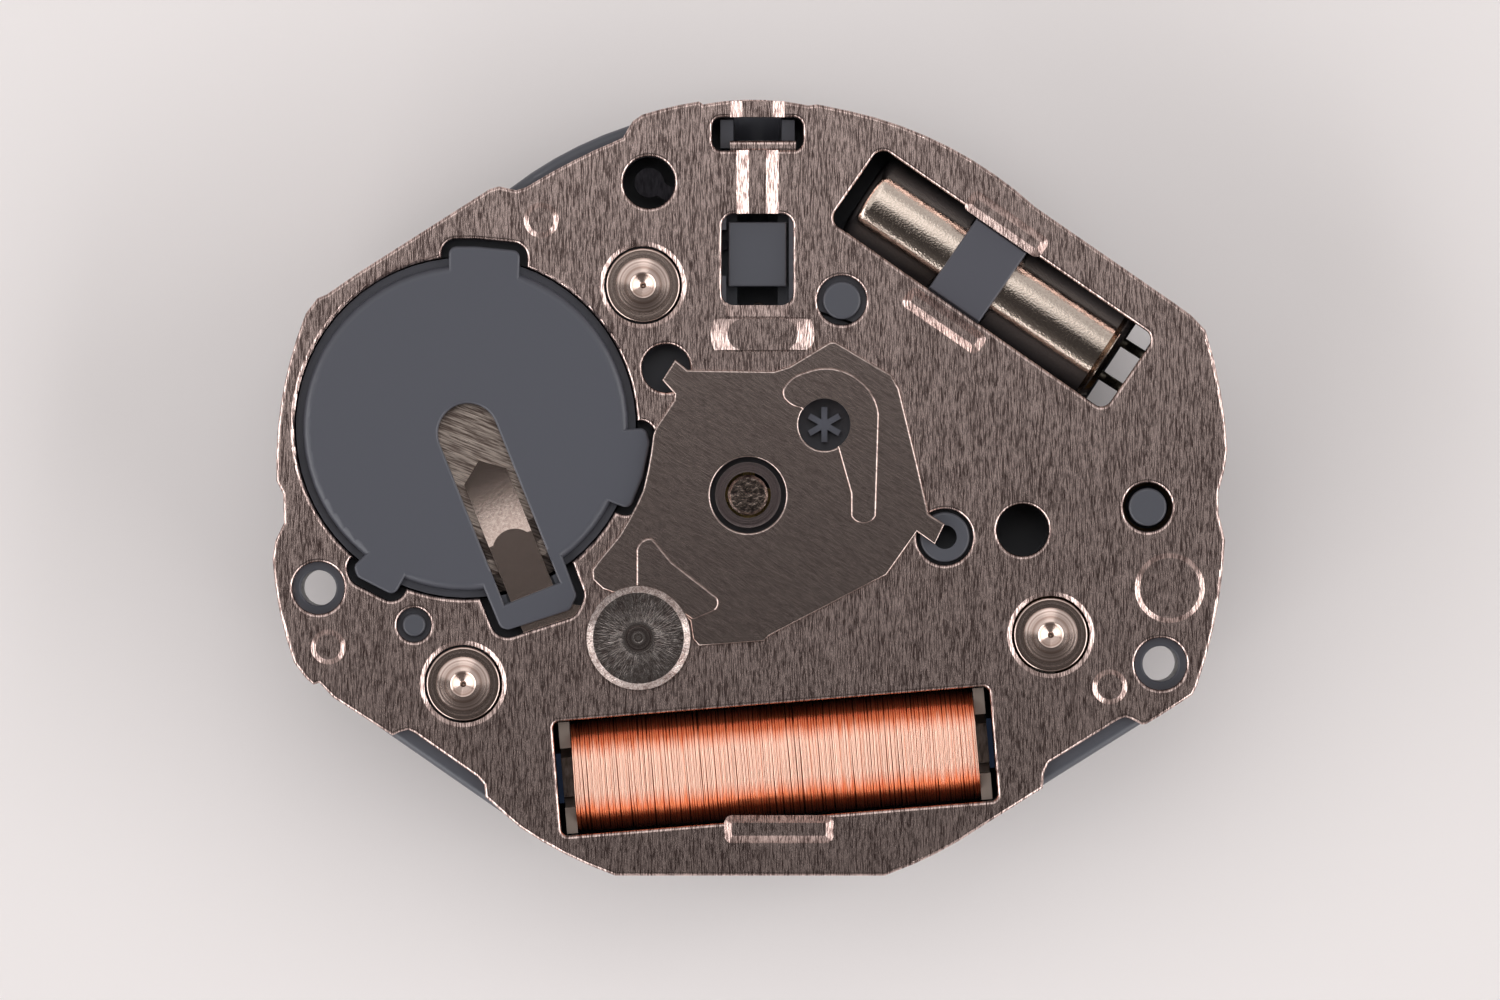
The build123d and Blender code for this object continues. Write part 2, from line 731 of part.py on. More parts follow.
def battery_cuts():
    """The pocket for the cell and the ways for its two contacts."""
    strip_end = polar(slot_end, strip_tail, slot_direction)
    contact_reach = cell_radius + cell_pocket_clearance + positive_contact_thickness
    contact = polar(battery_place, contact_reach, positive_contact_angle)
    wide = 2 * (positive_contact_thickness + pocket_clearance)
    grooves = [prism(wide - face, plate_height - lug_groove_depth, cover_top)
               for wide, face in zip(cap_lug_faces(lug_clearance), cap_lug_faces(0))]
    return grooves + [
        disc(battery_place, cell_radius + cell_pocket_clearance, cell_floor, cover_top),
        prism(strip_face(pocket_clearance), strip_level - seat_clearance, cover_top),
        block(contact, wide, positive_contact_width() + 2 * pocket_clearance,
              plate_height - positive_contact_height - pocket_clearance, cover_top, positive_contact_angle),
    ]


def positive_contact_width():
    """The width of the side contact, from the angle it spans round the cell."""
    return 2 * cell_radius * math.sin(math.radians(positive_contact_span / 2))


def strip_face(extra):
    """The hidden tail of the negative contact: from the cell's edge to the bridge pin."""
    start = polar(slot_end, -strip_width, slot_direction)
    corner = polar(slot_end, strip_tail_corner, slot_direction)
    face = None
    for a, b in ((start, corner), (corner, bridge_pin_place)):
        middle = (a + b) * 0.5
        leg = SlotCenterToCenter((b - a).length, strip_width)
        leg = Pos(middle.X, middle.Y) * Rot(0, 0, direction_of(a, b)) * leg
        face = leg if face is None else face + leg
    return offset(face, extra) if extra else face


def train_cuts():
    """The cavity for the going train, the rotor's pocket and the lower bearings."""
    pivot = pivot_radius + fit_clearance
    cuts = [
        disc(hand_axis, tip_radius_of(centre_teeth, centre_module) + cavity_gap, train_floor, cover_top),
        disc(third_axis, tip_radius_of(third_teeth, third_module) + cavity_gap, train_floor, cover_top),
        disc(fifth_axis, tip_radius_of(fifth_teeth, rotor_module) + cavity_gap, train_floor, cover_top),
        disc(rotor_axis, magnet_radius + rotor_pocket_gap, rotor_floor, cover_top),
        disc(hand_axis, centre_hub_radius + fit_clearance, recess_depth - overrun, train_floor + overrun),
    ]
    for axis in (third_axis, fifth_axis):
        cuts.append(disc(axis, pivot, train_floor - web_thickness, train_floor + overrun))
    cuts.append(disc(rotor_axis, pivot, rotor_floor - web_thickness, rotor_floor + overrun))
    return cuts


def lead_opening(low, high):
    """The opening through the plate under the crystal's leads."""
    place = polar(crystal_base, lead_opening_reach, can_direction)
    return block(place, lead_opening_width, lead_opening_length, low, high, can_direction)


def electric_cuts():
    """The pockets for the crystal, coil, core, stator and circuit board."""
    crystal_pocket = block(crystal_place, crystal_pocket_length, 2 * (can_radius + pocket_clearance),
                           can_floor, cover_top, can_direction)
    coil_pocket = block(coil_place, coil_pocket_length, coil_pocket_width,
                        coil_pocket_floor, cover_top, coil_direction)
    board = offset(plan(board_outline_shares), pocket_clearance)
    chip = spot(chip_place_share)
    cuts = [
        crystal_pocket,
        coil_pocket,
        prism(core_face(pocket_clearance), core_bottom, cover_top),
        prism(stator_face(pocket_clearance), stator_bottom, cover_top),
        prism(board, board_level, cover_top),
        lead_opening(-overrun, cover_top),
        block(chip, chip_length, chip_width, board_level, cover_top),
    ]
    strap = spot(strap_place_share)
    cuts.append(block(strap, strap_width + 2 * pocket_clearance, strap_base_length + 2 * pocket_clearance,
                      cover_bottom - strap_leg_depth - pocket_clearance, cover_top, crystal_window_direction))
    return cuts


def keyless_cuts():
    """The stem's bore and the pockets for the clutch, its slider and the levers."""
    channel_end = setting_axis.Y
    channel_top = stem_guide_end_share * overall_width
    middle = Vector(stem_x, (channel_end + channel_top) / 2)
    length = channel_top - channel_end
    cuts = [
        stem_bore(stem_bore_radius, channel_top - overrun, overall_width / 2 + overrun),
        block(middle, clutch_channel_width, length, clutch_channel_floor, cover_top),
        block(middle, slider_width + 2 * pocket_clearance, length, clutch_ledge_level, cover_top),
    ]
    slot = Vector(stem_x, slot_place_share * overall_width)
    cuts.append(block(slot, slot_window_length + 2 * pocket_clearance,
                      slot_window_depth + 2 * pocket_clearance, stem_axis_height, cover_top))
    for place in (setting_lever_place, yoke_place):
        cuts.append(disc(place, lever_boss_radius + window_clearance, clutch_ledge_level, cover_top))
    tail = spot(sight_hole_place_shares[0])
    sweep = lever_arm_width + 2 * window_clearance + setting_lever_sweep()
    cuts.append(bar(setting_lever_place, tail, sweep, clutch_ledge_level, cover_top))
    cuts.append(bar(setting_lever_place, lever_pin_place, sweep, clutch_ledge_level, cover_top))
    cuts.append(bar(setting_lever_place, yoke_place, sweep, clutch_ledge_level, cover_top))
    for end in (yoke_pin, yoke_pin_end, (yoke_pin + yoke_pin_end) * 0.5):
        cuts.append(bar(yoke_place, end, lever_arm_width + window_clearance, clutch_ledge_level, cover_top))
    cuts.append(bar(yoke_pin, yoke_pin_end, 2 * (lever_pin_radius + window_clearance),
                    lever_bottom - yoke_pin_depth - pocket_clearance, cover_top))
    yoke_reach = Vector(stem_x - slider_width / 2, yoke_place.Y)
    yoke_sweep = slider_travel + 2 * lever_arm_width
    cuts.append(bar(yoke_place, yoke_reach, yoke_sweep, clutch_ledge_level, cover_top))
    swing = polar(setting_lever_place, (lever_pin_place - setting_lever_place).length,
                  direction_of(setting_lever_place, lever_pin_place) + setting_lever_turn)
    pin_slot_width = 2 * (lever_pin_radius + pocket_clearance)
    pin_floor = lever_bottom - lever_pin_depth - pocket_clearance
    cuts.append(bar(lever_pin_place, swing, pin_slot_width, pin_floor, cover_top))
    hack_span = hack_width + 2 * window_clearance + hack_sweep()
    for end in (hack_tip, hack_tail):
        cuts.append(bar(hack_place, end, hack_span, hack_bottom - turning_gap, cover_top))
    cuts.append(disc(hack_place, hack_boss_radius + window_clearance, hack_bottom - turning_gap, cover_top))
    return cuts


def setting_lever_sweep():
    """How far the end of the setting lever moves sideways over its turn."""
    reach = (spot(sight_hole_place_shares[0]) - setting_lever_place).length
    return reach * math.radians(setting_lever_turn)


def hack_sweep():
    """How far the end of the stop lever moves sideways over its turn."""
    return hack_arm_length * math.radians(hack_turn)


def dial_side_cuts():
    """The recesses for the motion work, its guard and the guard's screws."""
    setting_reach = tip_radius_of(setting_teeth, motion_module) + cavity_gap
    cuts = [
        disc(hand_axis, tip_radius_of(hour_teeth, hour_module) + cavity_gap, -overrun, recess_depth),
        disc(minute_axis, tip_radius_of(minute_teeth, motion_module) + cavity_gap, -overrun, recess_depth),
        disc(setting_axis, setting_reach, -overrun, setting_recess_depth),
        prism(motion_cover_face(pocket_clearance), -overrun, motion_cover_top),
    ]
    for direction in motion_screw_directions:
        place = polar(hand_axis, motion_screw_reach, direction)
        cuts.append(disc(place, motion_screw_shank_radius, -overrun, recess_depth))
    return cuts


def hole_cuts():
    """The dial-foot holes, the sight holes and the hole under the bridge's hook."""
    cuts = []
    for share in foot_hole_place_shares:
        foot = spot(share)
        mouth = plate_height - foot_hole_mouth
        cuts.append(disc(foot, foot_hole_radius, -overrun, mouth))
        cuts.append(taper(foot, foot_hole_radius, foot_hole_radius + foot_hole_mouth, mouth, plate_height))
    for share in sight_hole_place_shares:
        cuts.append(disc(spot(share), sight_hole_radius, plate_height - sight_hole_depth, cover_top))
    cuts.append(disc(spot(hook_hole_place_share), hook_hole_radius, train_bridge_bottom, cover_top))
    return cuts


def main_plate_studs():
    """The posts, bearing studs and slot pads that are moulded on the main plate."""
    places = [(spot(share), post_radius) for share in post_place_shares]
    places.append((spot(small_post_place_share), small_post_radius))
    posts = [eased(disc(place, radius, train_floor, cover_top - post_drop), plastic_edge_radius)
             for place, radius in places]
    for place in (setting_lever_place, yoke_place):
        posts.append(disc(place, lever_stud_radius, train_floor, plate_height))
    posts.append(disc(hack_place, hack_stud_radius, train_floor, train_bridge_bottom - seat_clearance))
    for axis, top in ((minute_axis, recess_depth), (setting_axis, setting_recess_depth)):
        posts.append(disc(axis, motion_stud_radius, motion_cover_top, top + seat_clearance))
    for side in (-1, 1):
        pad_x = stem_x + side * (slot_window_length / 2 - slot_pad_inset - slot_pad_width / 2)
        pad = Vector(pad_x, slot_place_share * overall_width)
        posts.append(block(pad, slot_pad_width, slot_window_depth - 2 * pocket_clearance,
                           stem_axis_height, plate_height - slot_pad_drop))
    return posts


def make_main_plate():
    """The moulded plate that carries every other piece."""
    body = eased(prism(plan(main_outline_shares), 0, plate_height), plate_edge_radius)
    cuts = battery_cuts() + train_cuts() + electric_cuts() + keyless_cuts() + dial_side_cuts() + hole_cuts()
    seat = offset(plan(train_bridge_outline_shares), pocket_clearance)
    cuts.append(prism(seat, train_bridge_bottom, cover_top))
    cuts += pillar_cuts()
    return body - cuts + main_plate_studs()


def cover_windows():
    """The openings in the cover plate."""
    deep = cover_bottom - overrun
    high = cover_top + overrun
    cuts = [disc(battery_place, cell_radius + cell_pocket_clearance, deep, high)]
    cuts += [prism(face, deep, high) for face in cap_lug_faces(lug_clearance)]
    cuts.append(rounded_block(spot(crystal_window_place_share), crystal_window_length, crystal_window_width,
                              crystal_window_radius, deep, high, crystal_window_direction))
    cuts.append(rounded_block(coil_place, coil_window_length, coil_window_width,
                              coil_window_radius, deep, high, coil_direction))
    slot = Vector(stem_x, slot_place_share * overall_width)
    cuts.append(rounded_block(slot, slot_window_length, slot_window_depth, slot_window_radius, deep, high))
    window = Vector(stem_x, clutch_window_place_share * overall_width)
    cuts.append(rounded_block(window, clutch_window_width, clutch_window_length,
                              clutch_window_radius, deep, high))
    for share in post_place_shares:
        cuts.append(disc(spot(share), post_radius + post_gap, deep, high))
    cuts.append(disc(spot(small_post_place_share), small_post_radius + post_gap, deep, high))
    for share in sight_hole_place_shares:
        cuts.append(disc(spot(share), sight_hole_radius, deep, high))
    for share in foot_hole_place_shares:
        cuts.append(disc(spot(share), foot_hole_radius + foot_hole_gap, deep, high))
    cuts.append(disc(spot(hook_hole_place_share), hook_hole_radius, deep, high))
    cuts.append(disc(spot(bush_post_place_share), bush_post_radius + bush_post_gap, deep, high))
    for place in pillar_places:
        cuts.append(disc(place, pillar_head_radius + pillar_hole_gap, deep, high))
    cuts.append(disc(bridge_pin_place, pin_shank_radius, deep, high))
    cuts.append(disc(hand_axis, bush_outer_radius + window_clearance, deep, high))
    cuts.append(disc(third_axis, star_hole_radius, deep, high))
    return cuts


def ridge(base_width, top_width, start_y, end_y):
    """A raised ridge with leaning flanks along the stem axis."""
    rows = [
        (base_width / 2, 0),
        (top_width / 2, ridge_height),
        (-top_width / 2, ridge_height),
        (-base_width / 2, 0),
    ]
    points = [Vector(stem_x + x, start_y, cover_top + z) for x, z in rows]
    face = make_face(Polyline(*points, close=True))
    return extrude(face, end_y - start_y, dir=(0, 1, 0))


def raised_stadium():
    """The raised strap with sloping round ends below the clutch window."""
    place = spot(emboss_place_share)
    low = Pos(0, 0, cover_top) * SlotOverall(emboss_length, emboss_base_width)
    high = Pos(0, 0, cover_top + emboss_height) * SlotOverall(emboss_top_length, emboss_width)
    body = loft([low, high])
    body &= Pos(0, 0, cover_top) * Box(emboss_length, emboss_width, 2 * emboss_height + overrun)
    return Pos(place.X, place.Y) * body


def lance_cuts():
    """The two cut lines beside the raised strap, and the lip that slopes into the window."""
    place = spot(emboss_place_share)
    cuts = []
    for side in (-1, 1):
        line = Vector(place.X, place.Y + side * (emboss_width + lance_width) / 2)
        cuts.append(block(line, lance_length, lance_width, cover_top - lance_depth, cover_top + overrun))
    lip_end = clutch_window_place_share * overall_width - clutch_window_length / 2
    points = [(lip_end - ramp_length, cover_top), (lip_end + overrun, cover_top - steep_drop()),
              (lip_end + overrun, cover_top + overrun), (lip_end - ramp_length, cover_top + overrun)]
    face = make_face(Polyline(*[Vector(stem_x - ramp_width / 2, y, z) for y, z in points], close=True))
    cuts.append(extrude(face, ramp_width, dir=(1, 0, 0)))
    return cuts


def steep_drop():
    """How far the lip's slope has dropped where its cutter ends, past the window's edge."""
    return ramp_depth * (ramp_length + overrun) / ramp_length


def slot_lip():
    """The folded lip along the lower edge of the stem slot."""
    edge = slot_place_share * overall_width - slot_window_depth / 2
    middle = Vector(stem_x + slot_lip_shift, edge + slot_lip_width / 2 - seat_clearance)
    depth = slot_lip_width + 2 * seat_clearance
    body = block(middle, slot_lip_length, depth, cover_bottom - pocket_clearance, cover_top - seat_clearance)
    return fillet(body.edges().filter_by(Axis.X).sort_by(Axis.Z)[-2:], slot_lip_radius)


def cover_forms():
    """The bosses, ridges and louvres raised out of the cover plate."""
    slot_y = slot_place_share * overall_width
    window_y = clutch_window_place_share * overall_width
    boss_top = cover_top + boss_height
    forms = [
        dome_disc(spot(large_boss_place_share), large_boss_radius, boss_slope, cover_top, boss_top),
        ridge(ridge_base_width, ridge_top_width, window_y + clutch_window_length / 2,
              slot_y - slot_window_depth / 2),
        ridge(ridge_mouth_base_width, ridge_mouth_top_width, slot_y + slot_window_depth / 2,
              cover_outline_shares[15][1] * overall_width),
        raised_stadium(),
        slot_lip(),
    ]
    for share in small_boss_place_shares:
        forms.append(dome_disc(spot(share), small_boss_radius, boss_slope, cover_top, boss_top))
    for share in louvre_place_shares:
        forms.append(frustum(spot(share), louvre_length, louvre_width, louvre_slope,
                             cover_top, cover_top + louvre_height, crystal_window_direction))
    forms.append(frustum(spot(coil_louvre_place_share), coil_louvre_length, coil_louvre_width, louvre_slope,
                         cover_top, cover_top + louvre_height))
    return forms


def pillar_sinks():
    """The shallow sloping rings pressed round the pillars' holes."""
    inner = pillar_head_radius + pillar_hole_gap
    slope = pillar_sink_width / pillar_sink_depth
    sinks = []
    for place in pillar_places:
        sinks.append(taper(place, inner, inner + pillar_sink_width + overrun * slope,
                           cover_top - pillar_sink_depth, cover_top + overrun))
    return sinks


def make_cover_plate():
    """The steel cover plate with its windows and raised forms."""
    body = prism(plan(cover_outline_shares), cover_bottom, cover_top)
    body = eased(body - cover_windows(), metal_edge_radius)
    return body - lance_cuts() - pillar_sinks() + cover_forms()


def make_centre_bridge():
    """The thin bridge over the hand axis, with its two hooks and raised lines."""
    low = cover_top - overrun
    high = centre_bridge_top + bush_step
    body = prism(plan(centre_bridge_outline_shares), cover_top, centre_bridge_top)
    body -= [
        disc(hand_axis, centre_hole_radius, low, high),
        disc(third_axis, star_hole_radius, low, high),
        disc(bridge_pin_place, pin_collar_radius + seat_clearance, low, high),
    ]
    body = eased(body, bridge_edge_radius)
    for shares in (comma_outline_shares, corner_outline_shares):
        face = plan(shares)
        face = fillet(face.vertices(), raised_corner_radius)
        body += eased(prism(face, centre_bridge_top, high), bridge_edge_radius)
    return body - [
        disc(third_axis, star_hole_radius, centre_bridge_top, high + overrun),
        disc(bridge_pin_place, pin_head_radius + seat_clearance, centre_bridge_top, high + overrun),
    ]


def make_train_bridge():
    """The plastic bridge that holds the upper pivots of the train."""
    body = prism(plan(train_bridge_outline_shares), train_bridge_bottom, train_bridge_top)
    body += eased(disc(spot(bush_post_place_share), bush_post_radius, train_bridge_top,
                       cover_top - post_drop), plastic_edge_radius)
    low = train_bridge_bottom - overrun
    cuts = [disc(hand_axis, bush_outer_radius, low, cover_top)]
    for axis in (third_axis, fifth_axis, rotor_axis):
        cuts.append(disc(axis, pivot_radius + fit_clearance, low, cover_top))
    cuts.append(disc(spot(hook_hole_place_share), hook_hole_radius, low, cover_top))
    post_floor = train_bridge_bottom + seat_clearance
    cuts.append(disc(spot(bush_post_place_share), bush_post_bore, post_floor, cover_top))
    cuts.append(disc(hack_place, hack_boss_radius, low, cover_top))
    return body - cuts


def make_centre_bush():
    """The bearing ring for the seconds wheel's upper journal."""
    body = disc(hand_axis, bush_mid_radius, train_bridge_bottom, cover_top + bush_rise)
    body += disc(hand_axis, bush_outer_radius, train_bridge_bottom, cover_top + bush_rise - bush_step)
    top = cover_top + bush_rise + overrun
    return body - disc(hand_axis, journal_bush_radius, train_bridge_bottom - overrun, top)


def cap_slot():
    """The slot in the battery cap, round at its inner end and open at the outer one."""
    middle = (slot_start + slot_end) * 0.5
    length = (slot_end - slot_start).length
    face = Pos(middle.X, middle.Y) * Rot(0, 0, slot_direction) * Rectangle(length, slot_width)
    return face + Pos(slot_start.X, slot_start.Y) * Circle(slot_width / 2)


def make_battery_cap():
    """The insulating cap with a round edge, four lugs, a skirt and a slot for the contact."""
    bottom = cell_top + cap_lift
    lug_bottom = cover_top - cap_lug_thickness
    flat = Pos(battery_place.X, battery_place.Y) * Circle(cap_radius - cap_edge_radius)
    for face in cap_lug_faces(0):
        flat += face
    flat = offset(offset(flat, cap_corner_radius), -cap_corner_radius)
    slot = cap_slot()
    top = eased(prism(flat - slot, lug_bottom, cover_top), plastic_edge_radius)
    rim = disc(battery_place, cap_radius, bottom, cover_top)
    rim = fillet(rim.edges().filter_by(GeomType.CIRCLE).sort_by(Axis.Z)[-1], cap_edge_radius)
    rim -= disc(battery_place, cap_radius - 2 * cap_edge_radius, lug_bottom, cover_top)
    skirt = cell_radius + cell_pocket_clearance - fit_clearance
    rim += disc(battery_place, skirt, bottom, bottom + cap_skirt_thickness)
    return top + (rim - prism(slot, cell_top, cover_top))


def make_button_cell():
    """The cell: a can with a crimped rim, a gasket ring and a smaller negative cap."""
    cap = cell_radius - cell_rim_width - cell_gasket_width
    shoulder = cell_top - 2 * cell_cap_step
    body = disc(battery_place, cell_radius, cell_floor, shoulder)
    rim = cell_radius - cell_rim_width
    body += taper(battery_place, cell_radius, rim, cell_top - 2 * cell_cap_step, cell_top - cell_cap_step)
    cap_middle = cell_top - cell_cap_step / 2
    body += Pos(battery_place.X, battery_place.Y, cap_middle) * Cone(cap, cap - cell_cap_inset, cell_cap_step)
    return body


def make_negative_contact():
    """The spring strip that presses on the cell through the cap's slot."""
    tail = prism(strip_face(0), strip_level, strip_level + strip_thickness)
    tail -= disc(bridge_pin_place, pin_shank_radius, strip_level - overrun, cover_top)
    length = (slot_end - slot_start).length
    stations = [length * share for share in strip_station_shares]
    levels = [strip_level, strip_level, cell_top, cell_top + strip_drop / 2]
    side = [(s, z) for s, z in zip(stations, levels)]
    outline = side + [(s, z + strip_thickness) for s, z in reversed(side)]
    face = make_face(Polyline(*[Vector(s, 0, z) for s, z in outline], close=True))
    blade = extrude(face, strip_width / 2, dir=(0, 1, 0), both=True)
    tip = length * strip_tip_share
    shoulder = length * strip_shoulder_share
    nose = make_face(Polyline(
        Vector(tip, 0), Vector(shoulder, -strip_width / 2), Vector(length, -strip_width / 2),
        Vector(length, strip_width / 2), Vector(shoulder, strip_width / 2), close=True))
    blade &= prism(nose, cell_top - overrun, cover_top)
    blade = Pos(slot_start.X, slot_start.Y) * Rot(0, 0, slot_direction) * blade
    return tail + blade


def make_positive_contact():
    """The side contact: a leaf beside the cell with a foot against the cover plate."""
    reach = cell_radius + cell_pocket_clearance + positive_contact_thickness / 2
    place = polar(battery_place, reach + positive_contact_thickness / 2, positive_contact_angle)
    width = positive_contact_width()
    return block(place, positive_contact_thickness, width,
                 plate_height - positive_contact_height, plate_height, positive_contact_angle)


def make_crystal_can():
    """The drawn can of the quartz crystal, closed and rounded at one end."""
    body = Rot(0, 90, 0) * Cylinder(can_radius, can_length - flange_thickness)
    body = fillet(body.edges().filter_by(GeomType.CIRCLE).sort_by(Axis.X)[0], can_end_radius)
    start = polar(crystal_place, -flange_thickness / 2, can_direction)
    return Pos(start.X, start.Y, can_axis_height) * Rot(0, 0, can_direction) * body


def make_crystal_base():
    """The base ring of the crystal, in the open end of the can."""
    ring = Rot(0, 90, 0) * Cylinder(flange_radius, flange_thickness)
    ring = chamfer(ring.edges().filter_by(GeomType.CIRCLE), flange_neck)
    middle = polar(crystal_base, -flange_thickness / 2, can_direction)
    return Pos(middle.X, middle.Y, can_axis_height) * Rot(0, 0, can_direction) * ring


def make_crystal_leads():
    """The two leads, bent up from the crystal's base on to their pads."""
    lift = board_top + pad_thickness + lead_radius - can_axis_height
    leads = []
    for side in (-1, 1):
        y = side * lead_spacing / 2
        path = FilletPolyline(
            (0, y, 0), (lead_stub, y, 0), (lead_stub + lead_rise_run, y, lift),
            (lead_stub + lead_rise_run + lead_foot, y, lift), radius=2 * lead_radius)
        section = Plane(origin=(0, y, 0), z_dir=(1, 0, 0)) * Circle(lead_radius)
        leads.append(sweep(section, path=path))
    group = Compound(children=[lead.solid() for lead in leads])
    return Pos(crystal_base.X, crystal_base.Y, can_axis_height) * Rot(0, 0, can_direction) * group


def make_solder_pads():
    """Four pads on the board: two under the crystal's leads and two beside the coil."""
    group = []
    reach = lead_stub + lead_rise_run + lead_foot / 2
    for side in (-1, 1):
        middle = polar(crystal_base, reach, can_direction)
        place = polar(middle, side * lead_spacing / 2, can_direction + 90)
        group.append(block(place, pad_length, pad_width, board_top, board_top + pad_thickness, can_direction))
    for share in coil_pad_place_shares:
        top = board_top + pad_thickness
        group.append(block(spot(share), pad_length, pad_width, board_top, top, coil_direction))
    return Compound(children=[pad.solid() for pad in group])


def make_crystal_strap():
    """The plastic strap over the crystal, with a raised block and two legs."""
    place = spot(strap_place_share)
    turn = crystal_window_direction
    bottom = can_floor + 2 * can_radius + seat_clearance
    body = block(place, strap_width, strap_base_length, bottom, bottom + strap_base_thickness, turn)
    body += eased(block(place, strap_width, strap_block_length, bottom, cover_top - strap_top_drop, turn),
                  plastic_edge_radius)
    for side in (-1, 1):
        leg = polar(place, side * (strap_base_length - strap_leg_thickness) / 2, turn + 90)
        leg_bottom = cover_bottom - strap_leg_depth
        leg_top = bottom + strap_base_thickness
        body += block(leg, strap_width, strap_leg_thickness, leg_bottom, leg_top, turn)
    return body


def make_coil_core():
    """The soft iron core through the coil, with its tabs under two pillars."""
    body = prism(core_face(0), core_bottom, core_top)
    low = core_bottom - overrun
    high = core_top + overrun
    return body - [disc(place, pillar_foot_radius, low, high) for place in pillar_places[1:]]


def make_coil_winding():
    """The wound copper package round the core."""
    body = Rot(0, 90, 0) * Cylinder(coil_radius, coil_length)
    body = fillet(body.edges().filter_by(GeomType.CIRCLE), coil_end_radius)
    body -= Box(coil_length + overrun, core_width + seat_clearance, core_thickness + seat_clearance)
    return Pos(coil_place.X, coil_place.Y, coil_axis_height) * Rot(0, 0, coil_direction) * body


def make_coil_flanges():
    """The two end plates of the coil."""
    group = []
    for side in (-1, 1):
        x = side * (coil_length + flange_plate_thickness) / 2
        plate = Pos(x, 0, 0) * Box(flange_plate_thickness, flange_plate_width, flange_plate_height)
        plate -= Box(core_length, core_width + seat_clearance, core_thickness + seat_clearance)
        plate -= Pos(x, 0, flange_plate_height / 2) * Box(
            flange_plate_thickness, flange_notch_width, flange_plate_height)
        group.append(Pos(coil_place.X, coil_place.Y, coil_axis_height) * Rot(0, 0, coil_direction) * plate)
    return Compound(children=[plate.solid() for plate in group])


def make_coil_films():
    """The insulating films on top of the core beyond each end plate."""
    group = []
    for side in (-1, 1):
        start = coil_length / 2 + flange_plate_thickness
        place = polar(coil_place, side * (start + film_thickness / 2), coil_direction)
        top = coil_axis_height + flange_plate_height / 2
        film = block(place, film_thickness, film_width, core_top, top, coil_direction)
        group.append(film)
    return Compound(children=[film.solid() for film in group])


def make_stator():
    """The stator plate with the rotor's bore."""
    body = prism(stator_face(0), stator_bottom, core_bottom)
    cuts = [disc(rotor_axis, magnet_radius + stator_bore_clearance, stator_bottom - overrun, core_top)]
    low = stator_bottom - overrun
    cuts += [disc(place, pillar_foot_radius, low, core_top) for place in pillar_places[1:]]
    return body - cuts


def make_circuit_board():
    """The circuit board, with holes for what stands through it."""
    body = prism(plan(board_outline_shares), board_level, board_top)
    low = board_level - overrun
    high = board_top + overrun
    return body - [
        disc(spot(post_place_shares[1]), post_radius + pocket_clearance, low, high),
        disc(pillar_places[2], pillar_shank_radius + pocket_clearance, low, high),
        disc(spot(sight_hole_place_shares[1]), sight_hole_radius + pocket_clearance, low, high),
        disc(bridge_pin_place, pin_shank_radius, low, high),
        lead_opening(low, high),
    ]


def make_integrated_circuit():
    """The chip on the board."""
    return block(spot(chip_place_share), chip_length, chip_width, board_top, board_top + chip_thickness)


def make_pillars():
    """The three turned pillars, with a ringed head and a centre dimple."""
    group = []
    for place in pillar_places:
        head_bottom = cover_top - pillar_head_thickness
        body = eased(disc(place, pillar_head_radius, head_bottom, cover_top), turned_edge_radius)
        body += disc(place, pillar_shank_radius, core_top, head_bottom)
        body += disc(place, pillar_foot_radius, pillar_foot_level, core_top)
        outer = pillar_head_radius - pillar_ring_width
        inner = outer - pillar_ring_width
        ring = disc(place, outer, cover_top - pillar_ring_depth, cover_top + overrun)
        ring -= disc(place, inner, cover_top - overrun, cover_top + 2 * overrun)
        body -= ring
        body -= taper(place, 0, pillar_dimple_radius, cover_top - pillar_dimple_radius, cover_top)
        group.append(body.solid())
    return Compound(children=group)


def make_bridge_pin():
    """The large headed pin that holds the corner of the centre bridge."""
    top = centre_bridge_top + pin_head_thickness
    body = disc(bridge_pin_place, pin_head_radius, centre_bridge_top, top)
    body = chamfer(body.edges().filter_by(GeomType.CIRCLE).sort_by(Axis.Z)[-1], pin_bevel)
    ring = disc(bridge_pin_place, pin_ring_radius, top - pin_ring_depth, top + overrun)
    ring -= disc(bridge_pin_place, pin_ring_radius - pin_ring_width, top - overrun, top + 2 * overrun)
    body -= ring
    body -= disc(bridge_pin_place, pin_dot_radius, top - pin_ring_depth, top + overrun)
    body += disc(bridge_pin_place, pin_collar_radius, cover_top, centre_bridge_top)
    return body + disc(bridge_pin_place, pin_shank_radius, pin_foot_level, cover_top)


def make_rotor_magnet():
    """The ring magnet of the rotor."""
    bottom = rotor_floor + magnet_lift
    body = disc(rotor_axis, magnet_radius, bottom, bottom + magnet_height)
    return body - disc(rotor_axis, rotor_hub_radius, bottom - overrun, bottom + magnet_height + overrun)


def make_rotor_pinion():
    """The rotor's arbor and pinion."""
    bottom = rotor_floor + magnet_lift
    leaves_bottom = fifth_gear_bottom - pinion_overhang
    leaves_top = fifth_gear_top + pinion_overhang
    body = disc(rotor_axis, rotor_hub_radius, bottom, leaves_bottom)
    body += gear(rotor_leaves, rotor_module, rotor_phase, rotor_axis, leaves_bottom, leaves_top)
    return body + arbor_ends(rotor_axis, bottom - web_thickness + seat_clearance, bottom, leaves_top)


def arbor_ends(axis, low, bottom, top):
    """The two pivots of an arbor, up into the train bridge and down to a level."""
    lower = disc(axis, pivot_radius, low, bottom)
    upper = disc(axis, pivot_radius, top, train_bridge_top - seat_clearance)
    return [lower, upper]


